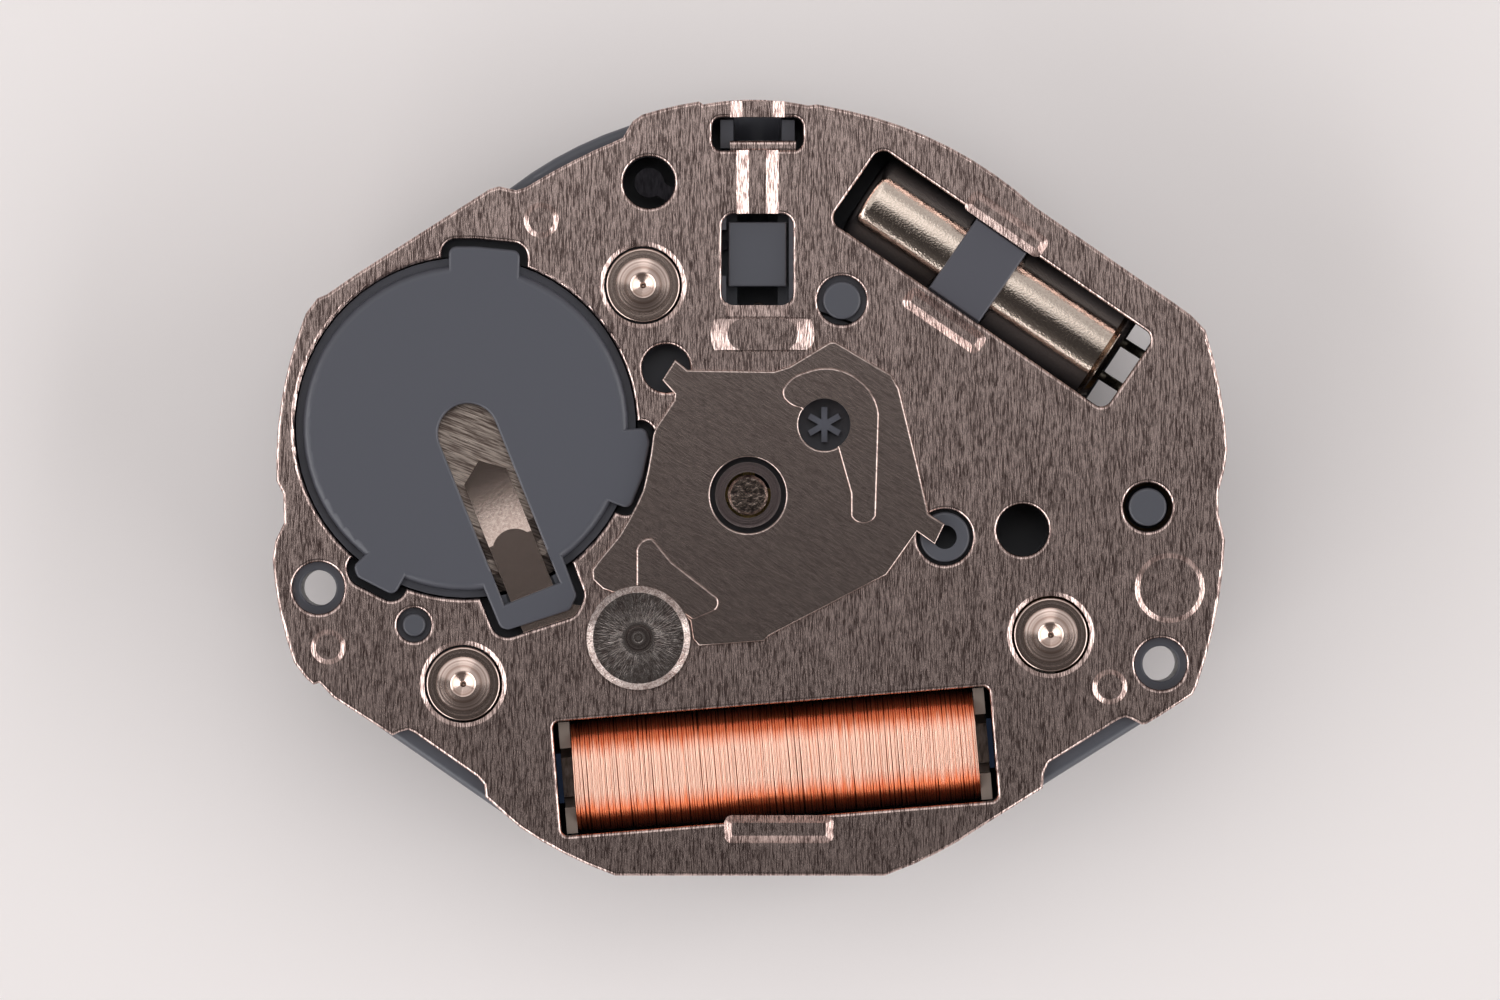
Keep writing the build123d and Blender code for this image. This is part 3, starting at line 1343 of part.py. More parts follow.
def make_fifth_wheel():
    """The fifth wheel with its pinion, between the rotor and the seconds wheel."""
    leaves_bottom = fourth_gear_bottom - pinion_overhang
    floor = train_floor + turning_gap
    body = disc(fifth_axis, arbor_radius, floor, leaves_bottom)
    body += gear(fifth_leaves, fifth_module, fifth_pinion_phase, fifth_axis, leaves_bottom, fifth_gear_bottom)
    body += gear(fifth_teeth, rotor_module, fifth_phase, fifth_axis, fifth_gear_bottom, fifth_gear_top)
    top = fifth_gear_top + turning_gap
    body += disc(fifth_axis, arbor_radius, fifth_gear_top, top)
    return body + arbor_ends(fifth_axis, train_floor - web_thickness + seat_clearance, floor, top)


def make_fourth_wheel():
    """The seconds wheel's toothed disc."""
    body = gear(fourth_teeth, fifth_module, fourth_phase, hand_axis, fourth_gear_bottom, fourth_gear_top)
    body -= disc(hand_axis, arbor_radius, fourth_gear_bottom - overrun, fourth_gear_top + overrun)
    spokes = fourth_spokes
    rim = fourth_teeth * fifth_module / 2 * fourth_rim_share
    hub = 2 * arbor_radius
    window = Circle(rim) - Circle(hub)
    for spoke in range(spokes):
        window -= Rot(0, 0, spoke * 360 / spokes) * Pos(rim / 2, 0) * Rectangle(rim + hub, hub)
    return body - prism(window, fourth_gear_bottom - overrun, fourth_gear_top + overrun)


def make_seconds_arbor():
    """The seconds arbor with its pinion, upper journal and long lower end for the hand."""
    leaves_bottom = third_gear_bottom - pinion_overhang
    leaves_top = third_gear_top + pinion_overhang
    shoulder = train_bridge_bottom - turning_gap
    top = cover_top + bush_rise + turning_gap
    journal = disc(hand_axis, journal_radius, shoulder, top)
    journal = chamfer(journal.edges().filter_by(GeomType.CIRCLE).sort_by(Axis.Z)[-1], journal_end_chamfer)
    seat_top = -minute_reach - hand_seat_gap
    body = disc(hand_axis, seconds_radius, -seconds_reach, seat_top)
    body += disc(hand_axis, seconds_body_radius, seat_top, leaves_bottom)
    body += gear(fourth_leaves, third_module, fourth_pinion_phase, hand_axis, leaves_bottom, leaves_top)
    body += disc(hand_axis, arbor_radius, leaves_top, shoulder)
    return body + journal


def make_third_wheel():
    """The third wheel with its pinion and the six-armed end above the bridge."""
    floor = train_floor + turning_gap / 2
    leaves_bottom = centre_gear_bottom
    body = gear(third_leaves, centre_module, third_pinion_phase, third_axis, leaves_bottom, third_gear_bottom)
    body += disc(third_axis, arbor_radius, floor, leaves_bottom)
    body += gear(third_teeth, third_module, third_phase, third_axis, third_gear_bottom, third_gear_top)
    top = train_bridge_bottom - turning_gap
    body += disc(third_axis, arbor_radius, third_gear_top, top)
    body += arbor_ends(third_axis, train_floor - web_thickness + seat_clearance, floor, top)
    star_bottom = train_bridge_top + turning_gap
    body += disc(third_axis, pivot_radius, top, star_bottom)
    star_top = star_bottom + star_thickness
    body += disc(third_axis, star_core_radius, star_bottom, star_top)
    for arm in range(star_arms):
        direction = arm * 360 / star_arms + 90
        middle = polar(third_axis, star_radius / 2, direction)
        body += block(middle, star_radius, star_arm_width, star_bottom, star_top, direction)
    return body


def make_centre_wheel():
    """The centre wheel with its tube through the plate."""
    body = gear(centre_teeth, centre_module, centre_phase, hand_axis, centre_gear_bottom, centre_gear_top)
    hub_bottom = recess_depth - seat_clearance
    body += disc(hand_axis, centre_hub_radius, hub_bottom, centre_gear_top + turning_gap)
    body += disc(hand_axis, centre_tube_radius, -centre_tube_reach, hub_bottom)
    return body - disc(hand_axis, centre_bore_radius, -overrun - centre_tube_reach, centre_gear_top + overrun)


def make_cannon_pinion():
    """The cannon pinion that carries the minute hand."""
    leaves_top = recess_depth - 2 * seat_clearance
    leaves_bottom = hour_gear_top + seat_clearance
    body = gear(cannon_leaves, motion_module, cannon_phase, hand_axis, leaves_bottom, leaves_top)
    seat_top = -hour_reach - hand_seat_gap
    body += disc(hand_axis, minute_pipe_radius, -minute_reach, seat_top)
    narrow = minute_body_radius - minute_body_narrowing
    body += taper(hand_axis, narrow, minute_body_radius, seat_top, leaves_bottom)
    return body - disc(hand_axis, centre_tube_radius, -minute_reach - overrun, leaves_top + overrun)


def make_minute_wheel():
    """The minute wheel with its pinion under the dial."""
    body = gear(minute_teeth, motion_module, minute_phase, minute_axis, minute_gear_bottom, minute_gear_top)
    body += gear(minute_leaves, hour_module, minute_pinion_phase, minute_axis, hour_gear_bottom,
                 minute_gear_bottom)
    return body - disc(minute_axis, motion_stud_radius + fit_clearance, 0, recess_depth)


def make_hour_wheel():
    """The hour wheel with the pipe that carries the hour hand."""
    body = gear(hour_teeth, hour_module, hour_phase, hand_axis, hour_gear_bottom, hour_gear_top)
    body += disc(hand_axis, hour_pipe_radius, -hour_reach, 0)
    body += disc(hand_axis, hour_shoulder_radius, 0, hour_gear_bottom)
    return body - disc(hand_axis, hour_bore_radius, -hour_reach - overrun, hour_gear_top + overrun)


def make_setting_wheel():
    """The tall setting wheel between the minute wheel and the clutch."""
    bottom = setting_recess_depth - setting_wheel_height - turning_gap
    top = bottom + setting_wheel_height
    body = gear(setting_teeth, motion_module, setting_phase, setting_axis, bottom, top)
    bore = motion_stud_radius + fit_clearance
    return body - disc(setting_axis, bore, bottom - overrun, setting_recess_depth)


def make_motion_cover():
    """The thin guard that keeps the motion work in place."""
    body = prism(motion_cover_face(0), motion_cover_drop, motion_cover_top)
    cuts = [disc(hand_axis, hour_shoulder_radius + window_clearance, 0, recess_depth)]
    for direction in motion_screw_directions:
        place = polar(hand_axis, motion_screw_reach, direction)
        cuts.append(disc(place, motion_screw_shank_radius, 0, recess_depth))
    return body - cuts


def make_motion_screws():
    """The two slotted screws of the motion guard."""
    group = []
    for direction in motion_screw_directions:
        place = polar(hand_axis, motion_screw_reach, direction)
        body = disc(place, motion_screw_head_radius, 0, motion_cover_drop)
        body += disc(place, motion_screw_shank_radius, motion_cover_drop, recess_depth)
        body -= block(place, 2 * motion_screw_head_radius + overrun, motion_screw_slot_width,
                      -overrun, motion_screw_slot_depth, direction)
        group.append(body.solid())
    return Compound(children=group)


def make_clutch_slider():
    """The plastic block in the window that carries the clutch along the stem."""
    bottom = clutch_ledge_level + seat_clearance
    body = eased(block(slider_place, slider_width, slider_length, bottom, bottom + slider_thickness),
                 turned_edge_radius)
    prong_x = clutch_channel_width / 2 - pocket_clearance / 2 - slider_prong_thickness / 2
    groove = clutch_place()
    for side in (-1, 1):
        place = Vector(stem_x + side * prong_x, groove.Y)
        body += block(place, slider_prong_thickness, clutch_groove_width - 2 * seat_clearance,
                      bottom - slider_prong_depth, bottom)
    notch = Vector(stem_x - slider_width / 2, yoke_tip.Y)
    body -= block(notch, 2 * slider_notch_depth, 2 * (yoke_tip_radius + fit_clearance),
                  bottom - overrun, lever_top + seat_clearance)
    return body


def clutch_place():
    """The middle of the clutch wheel at rest."""
    return Vector(stem_x, slider_place.Y)


def make_clutch_wheel():
    """The clutch wheel on the stem axis, with face teeth and a middle groove."""
    body = Cylinder(clutch_radius, clutch_length)
    groove = Cylinder(clutch_radius + overrun, clutch_groove_width)
    groove -= Cylinder(clutch_groove_radius, clutch_groove_width)
    body -= groove
    body -= Cylinder(clutch_bore_radius, clutch_length + overrun)
    gap = 2 * math.pi * clutch_radius / clutch_teeth / 2
    for end in (-1, 1):
        for tooth in range(clutch_teeth):
            cut = Box(clutch_radius, gap, 2 * clutch_tooth_depth)
            cut = Pos(clutch_radius, 0, end * clutch_length / 2) * cut
            body -= Rot(0, 0, tooth * 360 / clutch_teeth) * cut
    place = clutch_place()
    return Pos(place.X, place.Y, stem_axis_height) * Rot(90, 0, 0) * body


def make_setting_lever():
    """The setting lever, with a tail under the sight hole and a pin beside the stem."""
    tail = spot(sight_hole_place_shares[0])
    body = bar(setting_lever_place, tail, lever_arm_width, lever_bottom, lever_top)
    body += bar(setting_lever_place, lever_pin_place, lever_arm_width, lever_bottom, lever_top)
    body += disc(setting_lever_place, lever_boss_radius, lever_bottom, lever_top)
    body += disc(tail, lever_arm_width, lever_bottom, lever_top)
    body += disc(lever_pin_place, lever_pin_radius, lever_bottom - lever_pin_depth, lever_bottom)
    gap = (yoke_place - setting_lever_place).length - lever_boss_radius - lever_nose_gap
    nose = polar(setting_lever_place, gap - lever_pin_radius, direction_of(setting_lever_place, yoke_place))
    body += bar(setting_lever_place, nose, 2 * lever_pin_radius, lever_bottom, lever_top)
    bore = lever_stud_radius + fit_clearance
    return body - disc(setting_lever_place, bore, lever_bottom - overrun, cover_top)


def make_yoke():
    """The yoke that moves the clutch's slider."""
    body = bar(yoke_place, yoke_tip, 2 * yoke_tip_radius, lever_bottom, lever_top)
    body += disc(yoke_place, lever_boss_radius, lever_bottom, lever_top)
    body += bar(yoke_place, yoke_pin, 2 * yoke_tip_radius, lever_bottom, lever_top)
    body += disc(yoke_pin, lever_pin_radius, lever_bottom - yoke_pin_depth, lever_bottom)
    return body - disc(yoke_place, lever_stud_radius + fit_clearance, lever_bottom - overrun, cover_top)


def make_hack_lever():
    """The lever that stops the seconds wheel while the hands are set."""
    body = bar(hack_place, hack_tip, hack_width, hack_bottom, hack_top)
    body += bar(hack_place, hack_tail, hack_width, hack_bottom, hack_top)
    body += disc(hack_place, hack_boss_radius, hack_bottom, hack_top)
    return body - disc(hack_place, hack_stud_radius + fit_clearance, hack_bottom - overrun, cover_top)


# Phases that put every pair of wheels in mesh
fourth_phase = fifth_direction
fifth_pinion_phase = mate_phase(fourth_phase, fourth_teeth, fifth_leaves, fifth_direction)
fifth_phase = rotor_direction
rotor_phase = mate_phase(fifth_phase, fifth_teeth, rotor_leaves, rotor_direction)
fourth_pinion_phase = third_direction
third_phase = mate_phase(fourth_pinion_phase, fourth_leaves, third_teeth, third_direction)
centre_phase = third_direction
third_pinion_phase = mate_phase(centre_phase, centre_teeth, third_leaves, third_direction)
cannon_phase = minute_direction
minute_phase = mate_phase(cannon_phase, cannon_leaves, minute_teeth, minute_direction)
hour_phase = minute_direction
minute_pinion_phase = mate_phase(hour_phase, hour_teeth, minute_leaves, minute_direction)
setting_phase = mate_phase(minute_phase, minute_teeth, setting_teeth, setting_direction)

pieces = {
    "main_plate": make_main_plate,
    "cover_plate": make_cover_plate,
    "centre_bridge": make_centre_bridge,
    "train_bridge": make_train_bridge,
    "centre_bush": make_centre_bush,
    "battery_cap": make_battery_cap,
    "button_cell": make_button_cell,
    "negative_contact": make_negative_contact,
    "positive_contact": make_positive_contact,
    "crystal_can": make_crystal_can,
    "crystal_base": make_crystal_base,
    "crystal_leads": make_crystal_leads,
    "crystal_strap": make_crystal_strap,
    "solder_pads": make_solder_pads,
    "coil_core": make_coil_core,
    "coil_winding": make_coil_winding,
    "coil_flanges": make_coil_flanges,
    "coil_films": make_coil_films,
    "stator": make_stator,
    "circuit_board": make_circuit_board,
    "integrated_circuit": make_integrated_circuit,
    "plate_pillars": make_pillars,
    "bridge_pin": make_bridge_pin,
    "rotor_magnet": make_rotor_magnet,
    "rotor_pinion": make_rotor_pinion,
    "fifth_wheel": make_fifth_wheel,
    "fourth_wheel": make_fourth_wheel,
    "seconds_arbor": make_seconds_arbor,
    "third_wheel": make_third_wheel,
    "centre_wheel": make_centre_wheel,
    "cannon_pinion": make_cannon_pinion,
    "minute_wheel": make_minute_wheel,
    "hour_wheel": make_hour_wheel,
    "setting_wheel": make_setting_wheel,
    "motion_cover": make_motion_cover,
    "motion_screws": make_motion_screws,
    "clutch_slider": make_clutch_slider,
    "clutch_wheel": make_clutch_wheel,
    "setting_lever": make_setting_lever,
    "yoke": make_yoke,
    "hack_lever": make_hack_lever,
}

for node, make in pieces.items():
    export_step(make(), f"parts/{node}.step")
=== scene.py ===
import json
import math

import bmesh
import bpy
from mathutils import Matrix, Vector


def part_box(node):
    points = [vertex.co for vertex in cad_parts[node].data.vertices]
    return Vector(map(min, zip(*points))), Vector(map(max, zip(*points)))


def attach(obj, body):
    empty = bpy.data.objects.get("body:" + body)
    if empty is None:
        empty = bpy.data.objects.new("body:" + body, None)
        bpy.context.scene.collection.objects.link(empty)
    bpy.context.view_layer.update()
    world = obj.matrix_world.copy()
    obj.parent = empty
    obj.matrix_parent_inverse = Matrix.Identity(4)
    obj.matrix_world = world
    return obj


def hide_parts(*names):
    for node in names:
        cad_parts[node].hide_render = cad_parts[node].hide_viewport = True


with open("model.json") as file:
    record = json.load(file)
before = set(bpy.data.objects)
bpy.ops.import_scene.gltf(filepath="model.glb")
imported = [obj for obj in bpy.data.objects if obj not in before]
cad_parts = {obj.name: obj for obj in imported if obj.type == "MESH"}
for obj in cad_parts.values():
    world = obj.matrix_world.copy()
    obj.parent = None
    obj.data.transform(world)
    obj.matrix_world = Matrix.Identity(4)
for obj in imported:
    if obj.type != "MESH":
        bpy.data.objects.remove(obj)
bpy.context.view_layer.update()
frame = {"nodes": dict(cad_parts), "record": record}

# A quartz watch movement seen from its case back. Lengths are metres, written in millimetres
# times MM, and angles are degrees until Blender takes them.
nodes = frame["nodes"]
scene = bpy.context.scene
MM = 0.001
merge_distance = 0.0005 * MM

# Kinds of node and operations that are used many times
MATH = "ShaderNodeMath"
VECTOR_MATH = "ShaderNodeVectorMath"
NOISE = "ShaderNodeTexNoise"
MAP_RANGE = "ShaderNodeMapRange"
ABSOLUTE = {"operation": "ABSOLUTE"}
DIVIDE = {"operation": "DIVIDE"}
MULTIPLY = {"operation": "MULTIPLY"}
MULTIPLY_ADD = {"operation": "MULTIPLY_ADD"}
SCALE = {"operation": "SCALE"}
SUBTRACT = {"operation": "SUBTRACT"}


# Nodes and colours
def linear(code):
    """An sRGB hex colour as linear red, green, blue and alpha."""
    values = [int(code[i:i + 2], 16) / 255 for i in (1, 3, 5)]
    values = [v / 12.92 if v <= 0.04045 else ((v + 0.055) / 1.055) ** 2.4 for v in values]
    return (*values, 1.0)


def fill(tree, node, inputs):
    """Gives each named input a plain value, or links it to an output or to a node's first output."""
    for key, value in inputs.items():
        if isinstance(value, bpy.types.Node):
            value = value.outputs[0]
        if isinstance(value, bpy.types.NodeSocket):
            tree.links.new(node.inputs[key], value)
        else:
            node.inputs[key].default_value = value


def add(tree, kind, settings=None, inputs=None):
    """Adds one node with its settings, and fills its inputs."""
    node = tree.nodes.new(kind)
    for name, value in (settings or {}).items():
        setattr(node, name, value)
    fill(tree, node, inputs or {})
    return node


# Places taken from the pieces
def merged(node):
    """A working copy of a node's mesh, in place, with its loose triangles joined."""
    work = bmesh.new()
    work.from_mesh(nodes[node].data)
    work.transform(nodes[node].matrix_world)
    bmesh.ops.remove_doubles(work, verts=work.verts, dist=merge_distance)
    return work


def middle(points):
    """The middle of the box round some points, at its top."""
    low, high = ([end(p[axis] for p in points) for axis in range(3)] for end in (min, max))
    return Vector(((low[0] + high[0]) / 2, (low[1] + high[1]) / 2, high[2]))


def solid_middles(node):
    """The middle of each separate solid of a node, at its top."""
    work = merged(node)
    left = set(work.verts)
    middles = []
    while left:
        solid = {left.pop()}
        edge_of_search = list(solid)
        while edge_of_search:
            vertex = edge_of_search.pop()
            near = {edge.other_vert(vertex) for edge in vertex.link_edges} - solid
            solid |= near
            edge_of_search += near
        left -= solid
        middles.append(middle([vertex.co for vertex in solid]))
    work.free()
    return sorted(middles, key=lambda place: place.x)


cover_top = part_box("cover_plate")[1].z
hand_axis_top = Vector((0, 0, cover_top))
pillar_middles = [Vector((place.x, place.y, cover_top)) for place in solid_middles("plate_pillars")]
pin_middle = middle(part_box("bridge_pin"))
coil_middle = middle(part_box("coil_winding"))
coil_direction = 4.7


# Patterns. Sizes are real millimetres, and nearly all of a noise lies between its low and high
noise_low, noise_middle, noise_high = 0.3, 0.5, 0.7


def grain(tree, size_mm, turn=0.0, seed_mm=0.0, detail=2.0):
    """Noise drawn out into grains of one width and length, turned about Z."""
    width, length = (size * MM for size in size_mm)
    place = add(tree, "ShaderNodeTexCoord").outputs["Object"]
    mapped = add(tree, "ShaderNodeMapping", {"vector_type": "TEXTURE"}, {
        "Vector": place,
        "Location": (seed_mm * MM, seed_mm * MM, 0),
        "Rotation": (0, 0, math.radians(turn)),
        "Scale": (width, length, length),
    })
    return add(tree, NOISE, None, {"Vector": mapped, "Scale": 1.0, "Detail": detail, "Roughness": 0.6})


def rings(tree, reach, ring_mm, detail=2.0):
    """Noise that depends only on how far a point lies from a centre."""
    count = add(tree, MATH, DIVIDE, {0: reach, 1: ring_mm * MM})
    return add(tree, NOISE, {"noise_dimensions": "1D"}, {"W": count, "Scale": 1.0, "Detail": detail})


def two_tone(tree, pattern, low, high, low_colour, high_colour):
    """A colour that runs from one where the pattern is low to another where it is high."""
    share = add(tree, MAP_RANGE, None, {"Value": pattern, "From Min": low, "From Max": high})
    mixed = add(tree, "ShaderNodeMix", {"data_type": "RGBA"},
                {"Factor": share, 6: linear(low_colour), 7: linear(high_colour)})
    return mixed.outputs[2]


# Ways in which the surfaces were made
def new_material(name):
    """A material, with its tree and its shader."""
    material = bpy.data.materials.new(name)
    material.use_nodes = True
    return material, material.node_tree, material.node_tree.nodes["Principled BSDF"]


def brushed(name, dark, light, roughness, grain_mm, depth_mm, turn=0, contrast=1.0):
    """Metal with grain in one direction: streaks change its colour, gloss and height."""
    cloud_size, cloud_share, cloud_seed_mm = 12, 0.12, 7.0
    matt, glossy = 1.2, 0.85
    half_range = 0.16 / contrast
    material, tree, shader = new_material(name)
    fine = grain(tree, grain_mm, turn)
    cloud = grain(tree, [cloud_size * size for size in grain_mm], turn, cloud_seed_mm)
    streak = add(tree, MATH, MULTIPLY, {0: fine, 1: 1 - cloud_share})
    streak = add(tree, MATH, MULTIPLY_ADD, {0: cloud, 1: cloud_share, 2: streak})
    fill(tree, shader, {
        "Metallic": 1.0,
        "Base Color": two_tone(
            tree, streak, noise_middle - half_range, noise_middle + half_range, dark, light),
        "Roughness": add(tree, MAP_RANGE, None, {
            "Value": streak, "From Min": noise_low, "From Max": noise_high,
            "To Min": matt * roughness, "To Max": glossy * roughness,
        }),
        "Normal": add(tree, "ShaderNodeBump", None, {"Height": fine, "Distance": depth_mm * MM}),
    })
    return material


def turned(name, dark, light, roughness, centres, ring_mm, depth_mm):
    """Metal turned on a lathe: rings round the nearest centre, and no straight grain."""
    dark_ring, light_ring = 0.35, 0.65
    material, tree, shader = new_material(name)
    place = add(tree, "ShaderNodeTexCoord").outputs["Object"]
    nearest = None
    for centre in centres:
        reach = add(tree, VECTOR_MATH, {"operation": "DISTANCE"}, {0: place, 1: centre}).outputs["Value"]
        if nearest is not None:
            reach = add(tree, MATH, {"operation": "MINIMUM"}, {0: nearest, 1: reach})
        nearest = reach
    ring = rings(tree, nearest, ring_mm)
    fill(tree, shader, {
        "Metallic": 1.0,
        "Roughness": roughness,
        "Base Color": two_tone(tree, ring, dark_ring, light_ring, dark, light),
        "Normal": add(tree, "ShaderNodeBump", None, {"Height": ring, "Distance": depth_mm * MM}),
    })
    return material


def rubbed(name, dark, light, roughness, centre, depth_mm):
    """A pin's end rubbed on a stone: marks that run outwards, blotches, and rings in its middle."""
    spokes, drift_mm, blotch_mm, blotch_share, ring_mm = 30.0, 0.2, 0.16, 0.4, 0.07
    ringed_to_mm, rubbed_from_mm = 0.30, 0.36
    dark_mark, light_mark = 0.38, 0.62
    material, tree, shader = new_material(name)
    place = add(tree, "ShaderNodeTexCoord").outputs["Object"]
    out = add(tree, VECTOR_MATH, SUBTRACT, {0: place, 1: centre})
    way = add(tree, VECTOR_MATH, {"operation": "NORMALIZE"}, {0: out})
    spread = add(tree, VECTOR_MATH, SCALE, {0: way, "Scale": spokes})
    drift = add(tree, VECTOR_MATH, SCALE, {0: out, "Scale": 1 / (drift_mm * MM)})
    mixed = add(tree, VECTOR_MATH, {"operation": "ADD"}, {0: spread, 1: drift})
    marks = add(tree, NOISE, None, {"Vector": mixed, "Scale": 1.0, "Detail": 3.0})
    marks = add(tree, MATH, MULTIPLY, {0: marks, 1: 1 - blotch_share})
    blotch = grain(tree, (blotch_mm, blotch_mm), seed_mm=3.0)
    marks = add(tree, MATH, MULTIPLY_ADD, {0: blotch, 1: blotch_share, 2: marks})
    reach = add(tree, VECTOR_MATH, {"operation": "LENGTH"}, {0: out}).outputs["Value"]
    inside = add(tree, MAP_RANGE, None, {
        "Value": reach, "From Min": ringed_to_mm * MM, "From Max": rubbed_from_mm * MM,
        "To Min": 1.0, "To Max": 0.0,
    })
    height = add(tree, "ShaderNodeMix", {"data_type": "FLOAT"},
                 {"Factor": inside, 2: marks, 3: rings(tree, reach, ring_mm, detail=1.0)})
    fill(tree, shader, {
        "Metallic": 1.0,
        "Roughness": roughness,
        "Base Color": two_tone(tree, height, dark_mark, light_mark, dark, light),
        "Normal": add(tree, "ShaderNodeBump", None, {"Height": height, "Distance": depth_mm * MM}),
    })
    return material


def enamelled_with_painted_light(name, shaded_flank, lit_crown, roughness, centre, turn, reach_mm):
    """Enamelled wire wound on an axis: a paler colour on the crown as a painted highlight, and a deeper
    one down both flanks as painted shade and painted reflection of one turn in the next.
    """
    ragged_mm, ragged_share = 0.10, 0.35
    lit_crown_share, shaded_flank_share = 0.50, 0.80
    material, tree, shader = new_material(name)
    place = add(tree, "ShaderNodeTexCoord").outputs["Object"]
    mapped = add(tree, "ShaderNodeMapping", {"vector_type": "TEXTURE"},
                 {"Vector": place, "Location": centre, "Rotation": (0, 0, math.radians(turn))})
    along, aside, _ = add(tree, "ShaderNodeSeparateXYZ", None, {0: mapped}).outputs
    # Every few turns the edge of the painted highlight on the crown lies a little further out, so it is
    # ragged
    ragged = rings(tree, along, ragged_mm, detail=3.0)
    aside = add(tree, MATH, ABSOLUTE, {0: aside})
    share = add(tree, MATH, DIVIDE, {0: aside, 1: reach_mm * MM})
    share = add(tree, MATH, MULTIPLY_ADD, {0: ragged, 1: ragged_share, 2: share})
    fill(tree, shader, {
        "Metallic": 1.0,
        "Roughness": roughness,
        # Base colour by distance from the coil's axis: painted highlight on the crown, painted shade down
        # the flanks
        "Base Color": two_tone(tree, share, lit_crown_share, shaded_flank_share, lit_crown, shaded_flank),
    })
    return material


def moulded(name, colour, roughness, texture_mm, depth_mm):
    """Plastic moulded in a finely eroded tool: a soft satin with a faint even texture."""
    glossy, matt = 0.9, 1.1
    material, tree, shader = new_material(name)
    fine = grain(tree, (texture_mm, texture_mm), detail=3.0)
    fill(tree, shader, {
        "Base Color": linear(colour),
        "Roughness": add(tree, MAP_RANGE, None, {
            "Value": fine, "From Min": noise_low, "From Max": noise_high,
            "To Min": glossy * roughness, "To Max": matt * roughness,
        }),
        "Normal": add(tree, "ShaderNodeBump", None, {"Height": fine, "Distance": depth_mm * MM}),
    })
    return material


# Nickel-plated steel, brushed along Y: short upright streaks, light and dark, in a warm dark grey
cover_finish = brushed(
    "brushed_nickel_plated_steel", dark="#6C5A56", light="#EED4CC", roughness=0.25,
    grain_mm=(0.016, 0.22), depth_mm=0.003, contrast=2.2)
# Rolled steel with a slanting grain: more even than the cover, and a little darker
bridge_finish = brushed(
    "rolled_spring_steel_slanting_grain", dark="#9A8882", light="#DAC6BE", roughness=0.20,
    grain_mm=(0.022, 0.20), depth_mm=0.001, turn=58, contrast=1.1)
# Steel turned on a lathe: bright, with rings round each pillar's middle
pillar_finish = turned(
    "turned_steel", dark="#B69C90", light="#E8D2C8", roughness=0.18,
    centres=pillar_middles, ring_mm=0.07, depth_mm=0.0020)
# Steel pin whose end was rubbed flat: glints that run out from a ringed middle
pin_finish = rubbed(
    "rubbed_pin_steel", dark="#A89690", light="#FAEEE8", roughness=0.13,
    centre=pin_middle, depth_mm=0.005)
# Bronze ring of the centre bearing, turned: dark with faint rings
bush_finish = turned(
    "dark_bronze_bush", dark="#8A7A7A", light="#A89896", roughness=0.22,
    centres=[hand_axis_top], ring_mm=0.05, depth_mm=0.002)
# Steel shaft cut off at its end: small facets, light and dark
shaft_finish = brushed(
    "cut_shaft_steel", dark="#4A3E3C", light="#A8968C", roughness=0.20,
    grain_mm=(0.12, 0.12), depth_mm=0.012)
# Small turned arbors, pinions and screws: bright and even
arbor_finish = brushed(
    "turned_arbor_steel", dark="#9C8E88", light="#D8CCC4", roughness=0.24,
    grain_mm=(0.05, 0.05), depth_mm=0.001)
# Spring steel left as rolled: bright, warm and smooth, with hardly a mark
spring_finish = brushed(
    "rolled_spring_steel", dark="#D8BFB4", light="#F2DCD0", roughness=0.16,
    grain_mm=(0.06, 0.06), depth_mm=0.001)
# Blackened steel of the setting levers: dark and dull
lever_finish = brushed(
    "blackened_lever_steel", dark="#28262A", light="#3A383C", roughness=0.45,
    grain_mm=(0.05, 0.2), depth_mm=0.001)
# Steel lid of the cell, brushed on a slant: long coarse streaks
cell_finish = brushed(
    "brushed_cell_steel", dark="#7C6C64", light="#E0CEC2", roughness=0.32,
    grain_mm=(0.035, 0.5), depth_mm=0.004, turn=68, contrast=1.6)
# Drawn nickel silver of the crystal's can: a cream mirror with an orange peel
can_finish = brushed(
    "drawn_nickel_silver", dark="#DCCABC", light="#ECDCCE", roughness=0.11,
    grain_mm=(0.04, 0.04), depth_mm=0.004)
# Nickel ring round the crystal's glass: bright with an uneven surface
base_finish = brushed(
    "nickel_ring", dark="#A8978A", light="#E6D4C6", roughness=0.15,
    grain_mm=(0.05, 0.05), depth_mm=0.006)
# Tinned copper wire of the leads: dulled, greenish grey
lead_finish = brushed(
    "dull_tinned_wire", dark="#5E5A50", light="#8C877A", roughness=0.40,
    grain_mm=(0.05, 0.05), depth_mm=0.001)
# Solder that cooled in the air: bright with shallow dimples
solder_finish = brushed(
    "solder", dark="#C6C2BA", light="#E6E2DA", roughness=0.25,
    grain_mm=(0.15, 0.15), depth_mm=0.01)
# Soft iron, annealed: grey and half dull
iron_finish = brushed(
    "annealed_soft_iron", dark="#6E6560", light="#A1968E", roughness=0.38,
    grain_mm=(0.05, 0.2), depth_mm=0.001)
# Enamelled copper wire: a pinkish painted highlight on the crown, and orange red painted shade down the
# flanks
copper_with_painted_light = enamelled_with_painted_light(
    "enamelled_copper_wire_painted_light", shaded_flank="#E8845A", lit_crown="#FFD0BA", roughness=0.34,
    centre=coil_middle, turn=coil_direction, reach_mm=1.1)
# Cut brass of the wheels: yellow with a fine straight grain
brass_finish = brushed(
    "cut_brass", dark="#C8A868", light="#E6CC8C", roughness=0.24,
    grain_mm=(0.03, 0.3), depth_mm=0.001)
# Sintered magnet: dark grey with a fine grainy surface
magnet_finish = brushed(
    "sintered_magnet", dark="#4A4848", light="#6A6866", roughness=0.4,
    grain_mm=(0.05, 0.05), depth_mm=0.002)
